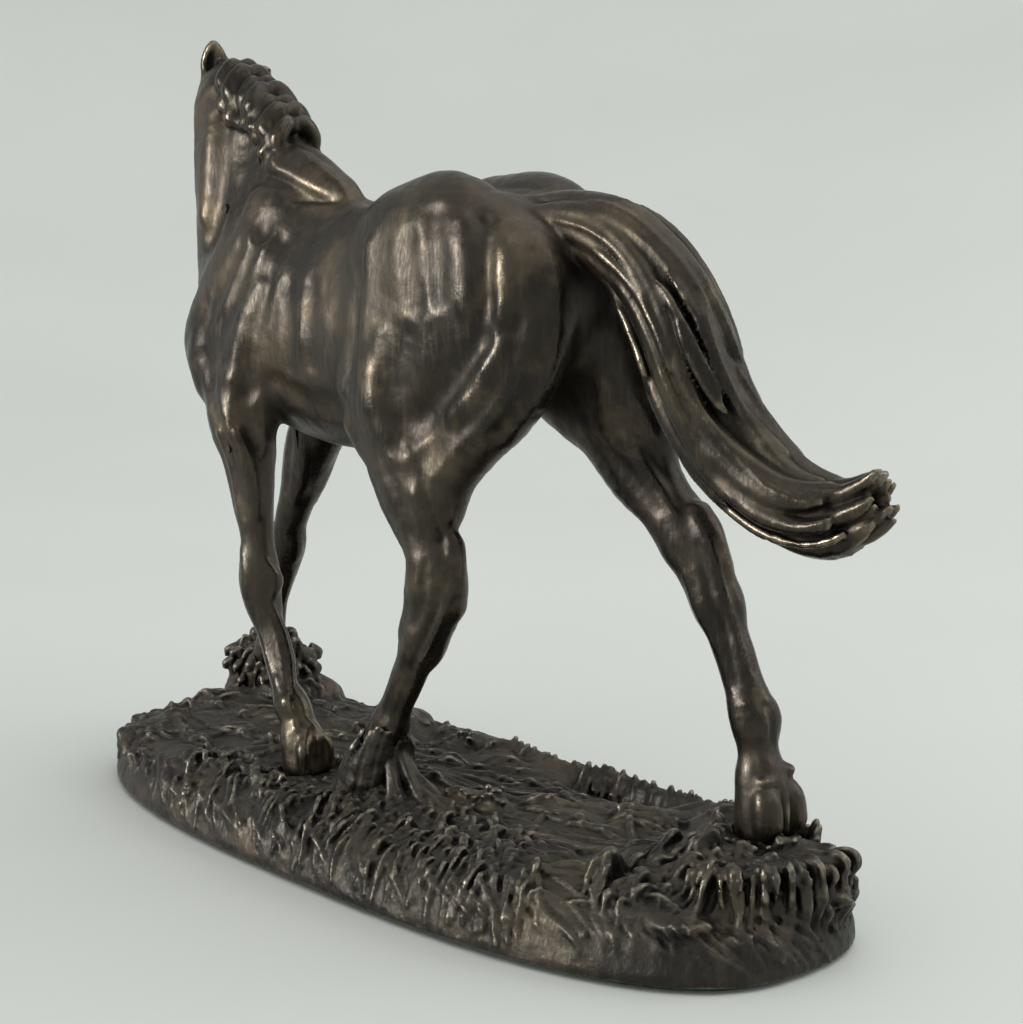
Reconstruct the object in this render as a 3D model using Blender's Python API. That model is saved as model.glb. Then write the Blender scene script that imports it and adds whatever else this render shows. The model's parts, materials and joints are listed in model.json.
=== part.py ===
"""Striding horse statuette in cast bronze, built the way a foundry builds one.

The horse is cast in sections. Each section has a spigot that enters its neighbour, a cross pin
holds it, and a stud in each hoof bolts the horse to the hollow turf base from beneath.

Frame: metres, +Z up. The horse walks towards -X, its left side is -Y, and the origin is the
middle of the felt pad's underside, on the table.
"""
import math

import bmesh
import bpy
import numpy as np
from mathutils import Matrix, Vector

# ---- driving dimensions, in millimetres -------------------------------------------------

MM = 0.001
GAP = 0.15                      # each side of a seam, so that neighbours stand 0.3 apart
FAR = 1000.0

CLAY_CELL = 2.2                 # grid of the clay for the horse
TURF_CELL = 2.6                 # grid of the clay for the base
CORE_CELL = 3.0
HORSE_SHARE = 0.155             # share of the faces kept when the clay is thinned out
TURF_SHARE = 0.16
HOLLOW_SHARE = 0.08
CORE_SHARE = 0.18

BASE_LENGTH = 296.0
BASE_WIDTH = 118.0
BASE_SQUARENESS = 2.66          # exponent of the base's superellipse outline
BASE_WALL = 5.0
TAPER = 0.19                    # how much the base leans in for each millimetre of height
HOLLOW_TOP = 20.0               # the base is solid above this height
DECK_UNDER_HOOF = 10.0          # thickness of the boss that each stud clamps
BOSS_RADIUS = 13.0
HORSE_WALL = 4.5
SOLID_AT_SEAM = 13.0            # the torso is solid for this far from a spigot's seam
NECK_HOLLOW = 16.0              # how far the hollow goes up the neck, past its seam
FELT_THICKNESS = 1.2
FELT_INSET = 3.0
CASTING_BOTTOM = FELT_THICKNESS + 2 * GAP

SLEEVE_WALL = 2.4               # neck sleeve inside the torso's opening
SLEEVE_LENGTH = 8.0
SPIGOT_RADIUS = 3.4
SPIGOT_LENGTH = 9.0
SPIGOT_ROOT = 4.0               # how far the spigot is cast into its own section
PIN_RADIUS = 1.2
NECK_PIN_RADIUS = 1.5

STUD_RADIUS = 1.5
STUD_IN_HOOF = 6.0
WASHER_RADIUS = 3.5
WASHER_THICKNESS = 0.6
NUT_FLATS = 5.5
NUT_THICKNESS = 2.4
STUD_PROUD = 1.0
BORE_SIDES = 16
COLLAR_SIDES = 24
PIN_PAST_SPIGOT = 1.6           # how far a pin goes on beyond its spigot, into the torso
PIN_BELOW_SKIN = 0.4            # every pin's head is filed down to just under the surface
TRACK = ((-127, 22, 26), (-115, 22, 58))

# Every hoof: where its stud stands, and the height of the turf under it.
HOOVES = {
    "left_fore": (-37.5, -24.0, 18.5),
    "right_fore": (-129.0, 22.0, 19.5),
    "left_hind": (-9.5, -22.0, 18.5),
    "right_hind": (114.5, 20.0, 26.5),
}
POCKET_RADIUS = 11.5
TRACK_RADIUS = 8.5              # clearance along the right fore pastern, which stands in a tussock

# Every seam: a point on it and the direction that leaves the torso.
SEAMS = {
    "neck": ((-96, 0, 196), (-0.60, 0, 0.80)),
    "tail": ((70, 0, 172), (0.876, 0, 0.484)),
    "left_fore": ((-69, -22, 114), (0, 0, -1)),
    "right_fore": ((-91, 19, 112), (-0.3, 0, -0.954)),
    "left_hind": ((17.5, -23, 114), (0, 0, -1)),
    "right_hind": ((68, 18, 117), (0.76, 0, -0.65)),
}
# The block that each section is cut from, along the seam's (across, Y, out) directions.
BLOCKS = {
    "neck": ((-120, 120), (-70, 70), (0, 120)),
    "tail": ((-150, 150), (-60, 60), (0, 160)),
    "left_fore": ((-45, 45), (-30, 20), (0, 125)),
    "right_fore": ((-40, 70), (-17, 30), (0, 125)),
    "left_hind": ((-45, 45), (-30, 20), (0, 125)),
    "right_hind": ((-17, 80), (-16, 30), (0, 140)),
}
# Where each spigot crosses its seam.
SPIGOTS = {
    "tail": (58.5, 0.0, 192.5),
    "left_fore": (-69.3, -21.8, 114.0),
    "right_fore": (-90.8, 19.0, 112.0),
    "left_hind": (17.8, -22.8, 114.0),
    "right_hind": (67.5, 18.3, 117.0),
}

BRONZE = (0.095, 0.070, 0.047)
BRONZE_WORN = (0.150, 0.112, 0.070)
BRONZE_DARK = (0.050, 0.040, 0.030)
BRASS = (0.55, 0.40, 0.18)
STEEL = (0.50, 0.50, 0.48)
FELT = (0.035, 0.075, 0.045)


# ---- scene and materials ----------------------------------------------------------------

def clear_scene():
    for thing in list(bpy.data.objects):
        bpy.data.objects.remove(thing, do_unlink=True)
    for mesh in list(bpy.data.meshes):
        bpy.data.meshes.remove(mesh)


def paint(name, colour, roughness, metallic):
    material = bpy.data.materials.new(name)
    material.use_nodes = True
    shader = material.node_tree.nodes["Principled BSDF"]
    shader.inputs["Base Color"].default_value = (*colour, 1.0)
    shader.inputs["Roughness"].default_value = roughness
    shader.inputs["Metallic"].default_value = metallic
    material.diffuse_color = (*colour, 1.0)
    return material


def add_object(name, mesh, material=None):
    thing = bpy.data.objects.new(name, mesh)
    bpy.context.scene.collection.objects.link(thing)
    if material:
        mesh.materials.append(material)
    return thing


def as_cutter(thing):
    thing.hide_render = True
    thing.display_type = "WIRE"
    return thing


def boolean(thing, other, operation="DIFFERENCE"):
    step = thing.modifiers.new(f"{operation.lower()}_{other.name}", "BOOLEAN")
    step.operation = operation
    step.solver = "EXACT"
    step.object = other


def thin_out(thing, share):
    step = thing.modifiers.new("thin_out", "DECIMATE")
    step.ratio = share


# ---- clay: a signed distance on a grid, negative inside ---------------------------------

def smooth_path(rows, step):
    """Catmull-Rom through rows of position and radii, with a row about every step."""
    rows = np.asarray(rows, float)
    rows = np.vstack([2 * rows[0] - rows[1], rows, 2 * rows[-1] - rows[-2]])
    out = []
    for a, b, c, d in zip(rows, rows[1:], rows[2:], rows[3:]):
        count = max(1, math.ceil(np.linalg.norm((c - b)[:3]) / step))
        t = (np.arange(count) / count)[:, None]
        out.append(0.5 * (2 * b + (c - a) * t + (2 * a - 5 * b + 4 * c - d) * t ** 2
                          + (3 * b - a - 3 * c + d) * t ** 3))
    out.append(rows[-2][None])
    return np.vstack(out)


class Clay:
    def __init__(self, low, high, cell):
        self.low = np.array(low, float)
        self.cell = cell
        counts = np.ceil((np.array(high) - self.low) / cell).astype(int) + 1
        self.field = np.full(counts, FAR)
        self.axes = [self.low[i] + cell * np.arange(counts[i]) for i in range(3)]

    def window(self, low, high, inside=None):
        counts = np.array(self.field.shape)
        first = np.clip(np.floor((np.array(low) - self.low) / self.cell).astype(int), 0, counts - 1)
        last = np.clip(np.ceil((np.array(high) - self.low) / self.cell).astype(int) + 1, first + 1, counts)
        found = [slice(a, b) for a, b in zip(first, last)]
        if inside:
            found = [slice(max(f.start, i.start), min(f.stop, i.stop)) for f, i in zip(found, inside)]
        return tuple(found)

    def grid(self, window):
        x, y, z = (axis[cut] for axis, cut in zip(self.axes, window))
        return x[:, None, None], y[None, :, None], z[None, None, :]

    def add(self, window, shape, blend):
        field = self.field[window]
        near = np.maximum(blend - np.abs(field - shape), 0)
        self.field[window] = np.minimum(field, shape) - near * near / (4 * blend)

    def carve(self, window, shape, blend):
        field = self.field[window]
        near = np.maximum(blend - np.abs(field + shape), 0)
        self.field[window] = np.maximum(field, -shape) + near * near / (4 * blend)

    def ball(self, centre, radii, blend):
        centre, radii = np.array(centre, float), np.array(radii, float)
        reach = radii.max() + blend + self.cell
        window = self.window(centre - reach, centre + reach)
        offsets = [g - c for g, c in zip(self.grid(window), centre)]
        near = np.sqrt(sum((o / r) ** 2 for o, r in zip(offsets, radii)))
        steep = np.sqrt(sum((o / r ** 2) ** 2 for o, r in zip(offsets, radii))) + 1e-6
        self.add(window, near * (near - 1) / steep, blend)

    def limb_shape(self, rows, pad, side, step):
        """Distance to a run of round cones; the radius along side may differ from the other."""
        rows = [tuple(row) + (row[3],) * (len(row) == 4) for row in rows]
        path = smooth_path(rows, step)
        radii = path[:, 3:].max(axis=1)[:, None] + pad
        window = self.window((path[:, :3] - radii).min(axis=0), (path[:, :3] + radii).max(axis=0))
        shape = np.full([w.stop - w.start for w in window], FAR)
        for a, b in zip(path, path[1:]):
            reach = max(a[3:].max(), b[3:].max()) + pad
            low, high = np.minimum(a[:3], b[:3]) - reach, np.maximum(a[:3], b[:3]) + reach
            part = self.window(low, high, window)
            line = (b - a)[:3]
            offset = [g - start for g, start in zip(self.grid(part), a)]
            t = np.clip(sum(o * d for o, d in zip(offset, line)) / (line @ line), 0, 1)
            offset = [o - d * t for o, d in zip(offset, line)]
            deep, wide = (a[i] + (b[i] - a[i]) * t for i in (3, 4))
            lateral = sum(o * s for o, s in zip(offset, side))
            squash = (deep / wide) ** 2
            length = np.sqrt(np.maximum(sum(o * o for o in offset) + lateral ** 2 * (squash - 1), 0))
            share = np.clip(lateral ** 2 * squash / np.maximum(length ** 2, 1e-6), 0, 1)
            distance = (length - deep) / np.sqrt(1 + np.maximum(squash - 1, 0) * share)
            local = tuple(slice(p.start - w.start, p.stop - w.start) for p, w in zip(part, window))
            shape[local] = np.minimum(shape[local], distance)
        return window, shape

    def limb(self, rows, blend, side=(0, 1, 0), step=3.0):
        self.add(*self.limb_shape(rows, blend + self.cell, side, step), blend)

    def slice_off(self, low, high, point, normal, blend):
        """Take away what lies beyond a plane, within a box."""
        window = self.window(low, high)
        beyond = sum((g - p) * n for g, p, n in zip(self.grid(window), point, normal))
        self.carve(window, -beyond / np.linalg.norm(normal), blend)


def skin(clay):
    """Vertices and quads of the clay's surface, one vertex in each cell that it crosses."""
    field = clay.field
    inside = field < 0
    counts = np.array(field.shape)
    corners = np.array([(x, y, z) for x in (0, 1) for y in (0, 1) for z in (0, 1)])
    full = sum(inside[x:counts[0] - 1 + x, y:counts[1] - 1 + y, z:counts[2] - 1 + z].astype(int)
               for x, y, z in corners)
    cells = np.argwhere((full > 0) & (full < 8))
    index = np.full(counts - 1, -1)
    index[tuple(cells.T)] = np.arange(len(cells))
    values = np.stack([field[tuple((cells + corner).T)] for corner in corners], axis=1)
    total, hits = np.zeros((len(cells), 3)), np.zeros(len(cells))
    for i in range(8):
        for j in range(i + 1, 8):
            if abs(corners[i] - corners[j]).sum() != 1:
                continue
            crossed = (values[:, i] < 0) != (values[:, j] < 0)
            share = values[crossed, i] / (values[crossed, i] - values[crossed, j])
            total[crossed] += corners[i] + (corners[j] - corners[i]) * share[:, None]
            hits[crossed] += 1
    points = (cells + total / hits[:, None]) * clay.cell + clay.low
    quads = [edge_quads(inside, index, axis) for axis in range(3)]
    return points, np.vstack(quads)


def edge_quads(inside, index, axis):
    """One quad around every grid edge along an axis that the surface crosses."""
    near = np.take(inside, range(inside.shape[axis] - 1), axis)
    beyond = np.take(inside, range(1, inside.shape[axis]), axis)
    edges = np.argwhere(near != beyond)
    first, second = [other for other in range(3) if other != axis]
    flip = near[tuple(edges.T)]
    if axis == 1:
        flip = ~flip
    around = []
    for back_first, back_second in ((1, 1), (0, 1), (0, 0), (1, 0)):
        cell = edges.copy()
        cell[:, first] -= back_first
        cell[:, second] -= back_second
        around.append(index[tuple(cell.T)])
    quads = np.stack(around, axis=1)
    quads[~flip] = quads[~flip][:, ::-1]
    return quads


def relax(points, quads, rounds):
    """Even out the grid's steps: move points towards their neighbours, then part of the way back."""
    links = np.vstack([quads[:, [i, (i + 1) % 4]] for i in range(4)])
    links = np.vstack([links, links[:, ::-1]])
    valence = np.bincount(links[:, 0], minlength=len(points))[:, None]
    for amount in (0.5, -0.52) * rounds:
        mean = np.zeros_like(points)
        for axis in range(3):
            mean[:, axis] = np.bincount(links[:, 0], points[links[:, 1], axis], len(points))
        points = points + amount * (mean / valence - points)
    return points


def clay_mesh(name, clay, rounds=2):
    points, quads = skin(clay)
    points = relax(points, quads, rounds) * MM
    mesh = bpy.data.meshes.new(name)
    mesh.from_pydata(points.tolist(), [], quads.tolist())
    mesh.shade_smooth()
    return mesh


# ---- the horse, mass by mass. A row is x, y, z, radius fore-and-aft, radius sideways ----

def add_trunk(clay):
    barrel = [(-88, 0, 156, 25, 15), (-72, 0, 157, 33, 20.5), (-52, 0, 156, 36, 24),
              (-30, 0, 155.5, 36, 26), (-8, 0, 159, 34, 26), (10, 0, 165, 31, 25),
              (28, 0, 170, 28, 23), (42, 0, 172, 22, 18)]
    withers = [(-96, 0, 182, 12, 6), (-82, 0, 186, 12.5, 6.5), (-64, 0, 186, 11, 6.5), (-44, 0, 181, 12, 7)]
    croup = [(-25, 0, 176, 18, 16), (-2, 0, 180, 18, 19), (20, 0, 180, 19, 20), (38, 0, 180, 14, 15)]
    clay.limb(barrel, 1)
    clay.limb(withers, 14)
    clay.ball((-95, 0, 150), (15, 16, 24), 12)
    clay.limb(croup, 12)
    for side, back, lift in ((-1, 0, -1.5), (1, 4, 1.5)):
        clay.ball((2 + back, side * 17, 187 + lift), (16, 9.5, 13), 10)
        clay.limb([(8 + back, side * 14, 187 + lift, 14, 11), (28 + back, side * 14, 184 + lift, 17, 13),
                   (42, side * 11, 176, 17, 12)], 10)


def add_shoulder(clay, side, reach):
    """Shoulder blade, upper arm and triceps; reach is how far the leg swings forward."""
    blade = [(-70, side * 11, 187, 12, 5), (-77 - reach * 0.3, side * 14, 174, 15, 6.5),
             (-87 - reach * 0.6, side * 15.5, 161, 16, 7.5), (-94 - reach, side * 15, 149, 13, 8)]
    upper_arm = [(-95 - reach, side * 14.5, 150, 12, 8), (-88 - reach * 0.7, side * 17, 140, 13, 8.5),
                 (-79 - reach * 0.5, side * 18.5, 133, 12, 8)]
    triceps = [(-67, side * 16.5, 172, 13, 6), (-71 - reach * 0.2, side * 19, 152, 15, 8),
               (-72 - reach * 0.4, side * 19.5, 136, 11, 7.5)]
    for mass in (blade, upper_arm, triceps):
        clay.limb(mass, 8)


def add_neck(clay):
    crest = [(-78, 0, 180, 24, 13), (-91, 0, 191, 22, 12), (-102, 1, 205, 19, 11.5),
             (-110, 3, 219, 15, 9.5), (-115, 5, 229, 11.5, 8)]
    throat = [(-104, 0, 170, 14, 12), (-108, 0, 188, 12, 10), (-112, 2, 205, 10, 8.5), (-116, 4, 221, 8, 7)]
    mane = [(-108, 3, 231, 7, 5), (-97, 3, 224, 9, 5.5), (-85, 2, 216, 10, 6), (-73, 1, 208, 10, 6),
            (-60, 0, 201, 9, 5.5), (-48, 0, 196, 7, 5), (-38, 0, 192, 4, 4)]
    clay.limb(crest, 12)
    clay.limb(throat, 8)
    clay.limb(mane, 9)


def add_head(clay):
    poll = np.array((-116, 6, 230.0))
    down = np.array((-0.46, 0.50, -0.73))
    down /= np.linalg.norm(down)
    side = np.cross(down, (0, 0, 1))
    side /= np.linalg.norm(side)
    face = np.cross(side, down)

    def at(along, out=0.0, across=0.0):
        return tuple(poll + down * along + face * out + side * across)

    skull = [(2, -3, 11, 8.5), (14, -2, 13, 9), (28, -2, 11.5, 8), (42, 0, 8.5, 6.5), (55, 0, 7, 6),
             (62, -0.5, 6, 5.5)]
    clay.limb([at(along, out) + (deep, wide) for along, out, deep, wide in skull], 6, side=tuple(side))
    for hand in (-1, 1):
        clay.ball(at(15, -6, 4.5 * hand), (8.5, 7, 10), 5)
    left_root, right_root = np.array(at(-2, 4, 5.5)), np.array(at(-2, 4, -5.5))
    if left_root[1] > right_root[1]:
        left_root, right_root = right_root, left_root
    for root, lean in ((left_root, (1.5, -1.0, 12.5)), (right_root, (10.0, 2.0, 3.5))):
        middle, tip = root + np.multiply(lean, 0.5), root + lean
        clay.limb([(*root, 3.6, 3.6), (*middle, 3.8, 3.2), (*tip, 1.1, 1.1)], 3, step=1.5)


def add_left_fore(clay):
    leg = [(-77, -19, 138, 13, 9), (-73, -22, 127, 12, 9.5), (-69.5, -22, 117, 10, 8.2),
           (-67.5, -22, 101.5, 7.2, 6.4), (-65.8, -22, 89, 5.6, 5.3), (-65, -22, 78, 7, 6.6),
           (-63.5, -22, 69.5, 6.2, 6), (-60, -22, 61, 4.9, 4.3), (-54.6, -23, 51.6, 4.5, 3.7),
           (-49, -24, 43.5, 4.9, 4.2), (-45.5, -24, 38.5, 6.2, 5.6), (-42.5, -24, 33, 5.2, 5.2),
           (-41, -24, 28, 6, 6.2)]
    clay.limb(leg, 5)
    clay.limb([(-41, -24, 29, 6, 6.4), (-39.5, -24, 22, 7.2, 7.4), (-38, -24, 13, 8, 8)], 2.5)
    clay.slice_off((-52, -40, 8), (-20, -8, 34), (-32.5, -24, 24), (0.96, 0, -0.2), 2)


def add_right_fore(clay):
    leg = [(-80, 18, 138, 13, 9), (-86, 19, 122, 11.5, 9), (-92, 19, 111, 9.6, 8), (-99, 20, 98, 7.4, 6.6),
           (-105, 20, 85, 5.9, 5.5), (-109, 21, 76, 6.8, 6.5), (-112.5, 21, 67, 6, 5.8),
           (-116, 21, 56, 4.6, 4.2), (-119, 22, 45, 4.6, 4), (-121.5, 22, 37, 6, 5.4),
           (-125, 22, 30, 5.2, 5), (-127, 22, 26, 6, 6)]
    clay.limb(leg, 5)
    clay.limb([(-126.5, 22, 28, 6, 6.3), (-129, 22, 21, 7.6, 7.6), (-131, 22, 13, 9, 8.5)], 2.5)


def add_left_hind(clay):
    thigh = [(22, -15, 182, 24, 13), (20, -17, 166, 31, 14.5), (12, -19, 152, 26, 14), (2, -21, 141, 17, 12)]
    hamstring = [(50, -11, 176, 15, 11), (51, -13, 160, 14, 12), (46, -16, 146, 13, 11.5),
                 (36, -19, 134, 12, 10)]
    gaskin = [(-2, -21, 141, 13, 11), (8, -22, 131, 15.5, 11.5), (14.5, -23, 120, 14, 10),
              (18.5, -23, 108, 10.4, 8), (22, -23, 98, 7.6, 6.8), (23.5, -23, 90, 8, 7)]
    hock = [(24, -22, 93, 7.5, 6.8), (23, -22, 84, 9, 7.2), (20.5, -22, 77, 8, 6.8), (17, -22, 70, 6.6, 5.8)]
    point_of_hock = [(31, -22, 100, 3, 3), (31, -22, 91, 4, 3.6), (30, -22, 83, 4, 4)]
    cannon = [(17, -22, 70, 6.4, 5.4), (11, -22, 60, 5.8, 4.8), (5, -22, 49, 5.6, 4.6),
              (1, -22, 41, 6.6, 5.6), (-3, -22, 34, 5.8, 5.4), (-7, -22, 27, 7.5, 7)]
    for mass, blend in ((thigh, 10), (hamstring, 8), (gaskin, 8), (hock, 5), (point_of_hock, 5), (cannon, 5)):
        clay.limb(mass, blend)
    clay.limb([(-6, -22, 30, 7, 7), (-8.5, -22, 22, 8, 7.8), (-11, -22, 12, 9.3, 8.8)], 2.5)


def add_right_hind(clay):
    thigh = [(28, 15, 182, 22, 13), (32, 17, 167, 27, 14.5), (37, 18, 155, 22, 14), (43, 18.5, 146, 16, 12)]
    hamstring = [(50, 11, 176, 15, 11), (57, 13, 160, 14, 12), (63, 15, 147, 13, 12), (68, 16, 136, 11, 10)]
    gaskin = [(43, 18.5, 146, 15, 12), (55, 18.5, 135, 13, 11.5), (67, 18, 122, 11, 9.5),
              (77, 18.5, 113, 8.6, 8), (83, 19, 106, 7.8, 7)]
    hock = [(81, 19, 109, 7, 6.5), (86, 19, 102, 8, 7), (91, 19.5, 95, 7.6, 6.8), (95, 20, 88, 6.6, 6)]
    point_of_hock = [(89, 19, 113, 3, 3), (93, 19, 107, 4, 3.8), (95, 19.5, 99, 4, 3.8)]
    cannon = [(95, 20, 88, 6.4, 5.8), (100.5, 20, 77, 5.8, 5.4), (105, 20, 67, 5.6, 5.4),
              (108.5, 20, 59, 6.8, 6.8), (110.5, 20, 51, 5.6, 5.8), (112.2, 20, 42, 6, 6.4)]
    for mass, blend in ((thigh, 10), (hamstring, 8), (gaskin, 8), (hock, 5), (point_of_hock, 5), (cannon, 5)):
        clay.limb(mass, blend)
    clay.limb([(112.6, 20, 42, 6.6, 7), (113.4, 20, 37, 8, 8.2), (114, 20, 30, 8.6, 8.8),
               (115, 20, 20, 9, 9)], 3)
    clay.slice_off((98, 2, 14), (134, 38, 46), (121.5, 20, 34), (1, 0, -0.1), 2)


def add_tail(clay):
    clay.limb([(34, 0, 188, 9, 8), (46, 0, 191, 9, 8.5), (60, 0, 191.5, 9.5, 9), (75, 1, 187.5, 11.5, 10),
               (87, 2, 178, 13, 11), (95, 3, 166, 13.5, 12), (101, 4, 152, 13.5, 12.5), (108, 6, 139, 13, 12),
               (118, 8, 129, 12, 12), (130, 9, 122, 11, 11.5), (141, 10, 120, 10.5, 10.5),
               (149, 11, 122, 9, 9), (154, 11, 125, 7, 8)], 8)


def model_horse(cell):
    clay = Clay((-176, -60, -2), (174, 64, 258), cell)
    add_trunk(clay)
    for side, reach in ((-1, 0), (1, 3)):
        add_shoulder(clay, side, reach)
    add_neck(clay)
    for add_part in (add_left_hind, add_right_hind, add_left_fore, add_right_fore, add_tail, add_head):
        add_part(clay)
    return clay


def beyond_seam(clay, name):
    """Height over a seam's plane, everywhere in the clay."""
    point, normal = SEAMS[name]
    size = math.sqrt(sum(n * n for n in normal))
    return sum((g - p) * n / size for g, p, n in zip(clay.grid((slice(None),) * 3), point, normal))


def model_core():
    """The foundry core: the horse less an even wall, kept out of the limbs and the head."""
    clay = model_horse(CORE_CELL)
    limits = [beyond_seam(clay, name) + (-NECK_HOLLOW if name == "neck" else SOLID_AT_SEAM) for name in SEAMS]
    clay.field = np.maximum.reduce([clay.field + HORSE_WALL] + limits)
    return clay


def model_neck_hollow():
    """What the neck's own hollow and its sleeve's bore leave empty."""
    clay = model_core()
    height = beyond_seam(clay, "neck")
    clay.field = np.maximum(clay.field + 2 * GAP + SLEEVE_WALL, -height - SLEEVE_LENGTH - 4)
    return clay


# ---- the turf base ----------------------------------------------------------------------

def outline(inset=0.0, count=72):
    """The base's plan, a superellipse."""
    points = []
    for i in range(count):
        angle = 2 * math.pi * i / count
        c, s = math.cos(angle), math.sin(angle)
        power = 2 / BASE_SQUARENESS
        points.append(((BASE_LENGTH / 2 - inset) * math.copysign(abs(c) ** power, c),
                       (BASE_WIDTH / 2 - inset) * math.copysign(abs(s) ** power, s)))
    return points


def model_mound(floor):
    """The base's plain shape, before the tussocks."""
    half_x, half_y = BASE_LENGTH / 2, BASE_WIDTH / 2
    clay = Clay((-half_x - 6, -half_y - 6, floor - 3), (half_x + 6, half_y + 6, 52), TURF_CELL)
    everything = (slice(None),) * 3
    x, y, z = clay.grid(everything)
    power = BASE_SQUARENESS
    ring = ((abs(x) / half_x) ** power + (abs(y) / half_y) ** power) ** (1 / power)
    ring = np.maximum(ring, 0.3)
    steep = ring ** (1 - power) * np.hypot(abs(x) ** (power - 1) / half_x ** power,
                                           abs(y) ** (power - 1) / half_y ** power)
    side = (ring - 1) / (steep + 0.002) + TAPER * np.clip(z - 4, 0, 30)
    rise = 18.5 + 6 * np.exp(-((x - 112) / 26) ** 2 - ((y - 12) / 26) ** 2)
    rise = rise + 6 * np.exp(-((x + 128) / 28) ** 2 - ((y - 28) / 22) ** 2)
    rise = rise - 6 * np.exp(-((x - 52) / 40) ** 2 - ((y - 46) / 20) ** 2)
    rise = rise + 0.8 * np.sin(x / 17.0) * np.cos(y / 13.0)
    top = (z - rise) * 0.9
    clay.field[:] = np.broadcast_to(np.maximum(side, top), clay.field.shape)
    near = np.maximum(14 - abs(side - top), 0)
    clay.field += near * near / 56
    np.maximum(clay.field, floor - z, out=clay.field)
    return clay


def model_turf():
    clay = model_mound(-4)
    for centre, radii in (((-120, 27, 26), (13, 11, 15)), ((-110, 31, 22), (8, 8, 15)), ((-134, 22, 20),
                                                                                         (8, 9, 12)),
                          ((-8, -30, 18), (12, 8, 8)), ((0, -20, 18), (10, 9, 9)), ((128, -12, 20),
                                                                                    (13, 14, 12)),
                          ((136, 6, 16), (9, 13, 12)), ((112, -4, 21), (10, 8, 8)), ((104, 22, 20),
                                                                                     (12, 14, 8)),
                          ((50, 18, 17), (14, 8, 5)), ((20, 24, 17), (10, 7, 5)), ((-80, 24, 17),
                                                                                   (16, 10, 4))):
        clay.ball(centre, radii, 6)
    return clay


def model_hollow():
    """The core that leaves the base an even shell, open underneath."""
    clay = model_mound(-12)
    z = clay.grid((slice(None),) * 3)[2]
    clay.field = np.maximum(clay.field + BASE_WALL, z - HOLLOW_TOP)
    return clay


def extruded(name, points, low, high, material=None):
    """A closed prism over a plan outline, in millimetres."""
    shape = bmesh.new()
    floor = shape.faces.new([shape.verts.new((px * MM, py * MM, low * MM)) for px, py in points])
    raised = bmesh.ops.extrude_face_region(shape, geom=[floor])
    lifted = [v for v in raised["geom"] if isinstance(v, bmesh.types.BMVert)]
    bmesh.ops.translate(shape, verts=lifted, vec=(0, 0, (high - low) * MM))
    bmesh.ops.recalc_face_normals(shape, faces=shape.faces)
    mesh = bpy.data.meshes.new(name)
    shape.to_mesh(mesh)
    shape.free()
    return add_object(name, mesh, material)


# ---- round and hexagonal hardware -------------------------------------------------------

def facing(start, direction):
    """Matrix that puts +Z along a direction, at a point given in millimetres."""
    turn = Vector(direction).to_track_quat("Z", "Y").to_matrix().to_4x4()
    return Matrix.Translation(Vector(start) * MM) @ turn


def rod(name, start, end, radius, material=None, sides=BORE_SIDES):
    line = Vector(end) - Vector(start)
    shape = bmesh.new()
    bmesh.ops.create_cone(shape, cap_ends=True, segments=sides, radius1=radius * MM, radius2=radius * MM,
                          depth=line.length * MM)
    for face in shape.faces:
        face.smooth = len(face.verts) == 4
    mesh = bpy.data.meshes.new(name)
    shape.to_mesh(mesh)
    shape.free()
    thing = add_object(name, mesh, material)
    thing.matrix_world = facing((Vector(start) + Vector(end)) / 2, line)
    return thing


def collar(name, centre, outer, bore, thickness, material):
    """A ring lying flat with its underside at centre; outer gives the rim's radius at an angle."""
    levels = []
    shape = bmesh.new()
    for radius_at in (outer, lambda angle: bore):
        for height in (0, thickness):
            angles = [2 * math.pi * i / COLLAR_SIDES for i in range(COLLAR_SIDES)]
            levels.append([shape.verts.new((radius_at(a) * math.cos(a) * MM, radius_at(a) * math.sin(a) * MM,
                                            height * MM)) for a in angles])
    outer_low, outer_high, inner_low, inner_high = levels
    for first, second in ((outer_low, outer_high), (outer_high, inner_high), (inner_high, inner_low),
                          (inner_low, outer_low)):
        for i in range(COLLAR_SIDES):
            j = (i + 1) % COLLAR_SIDES
            shape.faces.new((first[i], first[j], second[j], second[i]))
    bmesh.ops.recalc_face_normals(shape, faces=shape.faces)
    mesh = bpy.data.meshes.new(name)
    shape.to_mesh(mesh)
    shape.free()
    thing = add_object(name, mesh, material)
    thing.location = Vector(centre) * MM
    return thing


def hexagon(angle):
    return NUT_FLATS / 2 / math.cos((angle + math.pi / 6) % (math.pi / 3) - math.pi / 6)


# ---- seams ------------------------------------------------------------------------------

def seam_axes(name):
    """The seam's point and its across, sideways and outward directions."""
    point, normal = (Vector(v) for v in SEAMS[name])
    out = normal.normalized()
    sideways = Vector((0, 1, 0))
    return point, sideways.cross(out), sideways, out


def seam_block(name, shift):
    """The block beyond a seam, started a little further out or in."""
    point, across, sideways, out = seam_axes(name)
    (a0, a1), (s0, s1), (o0, o1) = BLOCKS[name]
    corners = [point + across * a + sideways * s + out * (o + shift)
               for a in (a0, a1) for s in (s0, s1) for o in (o0, o1)]
    shape = bmesh.new()
    bmesh.ops.convex_hull(shape, input=[shape.verts.new(corner * MM) for corner in corners])
    bmesh.ops.recalc_face_normals(shape, faces=shape.faces)
    mesh = bpy.data.meshes.new("seam_block")
    shape.to_mesh(mesh)
    shape.free()
    return as_cutter(add_object(f"cut_{name}_{'out' if shift > 0 else 'in'}", mesh))


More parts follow.
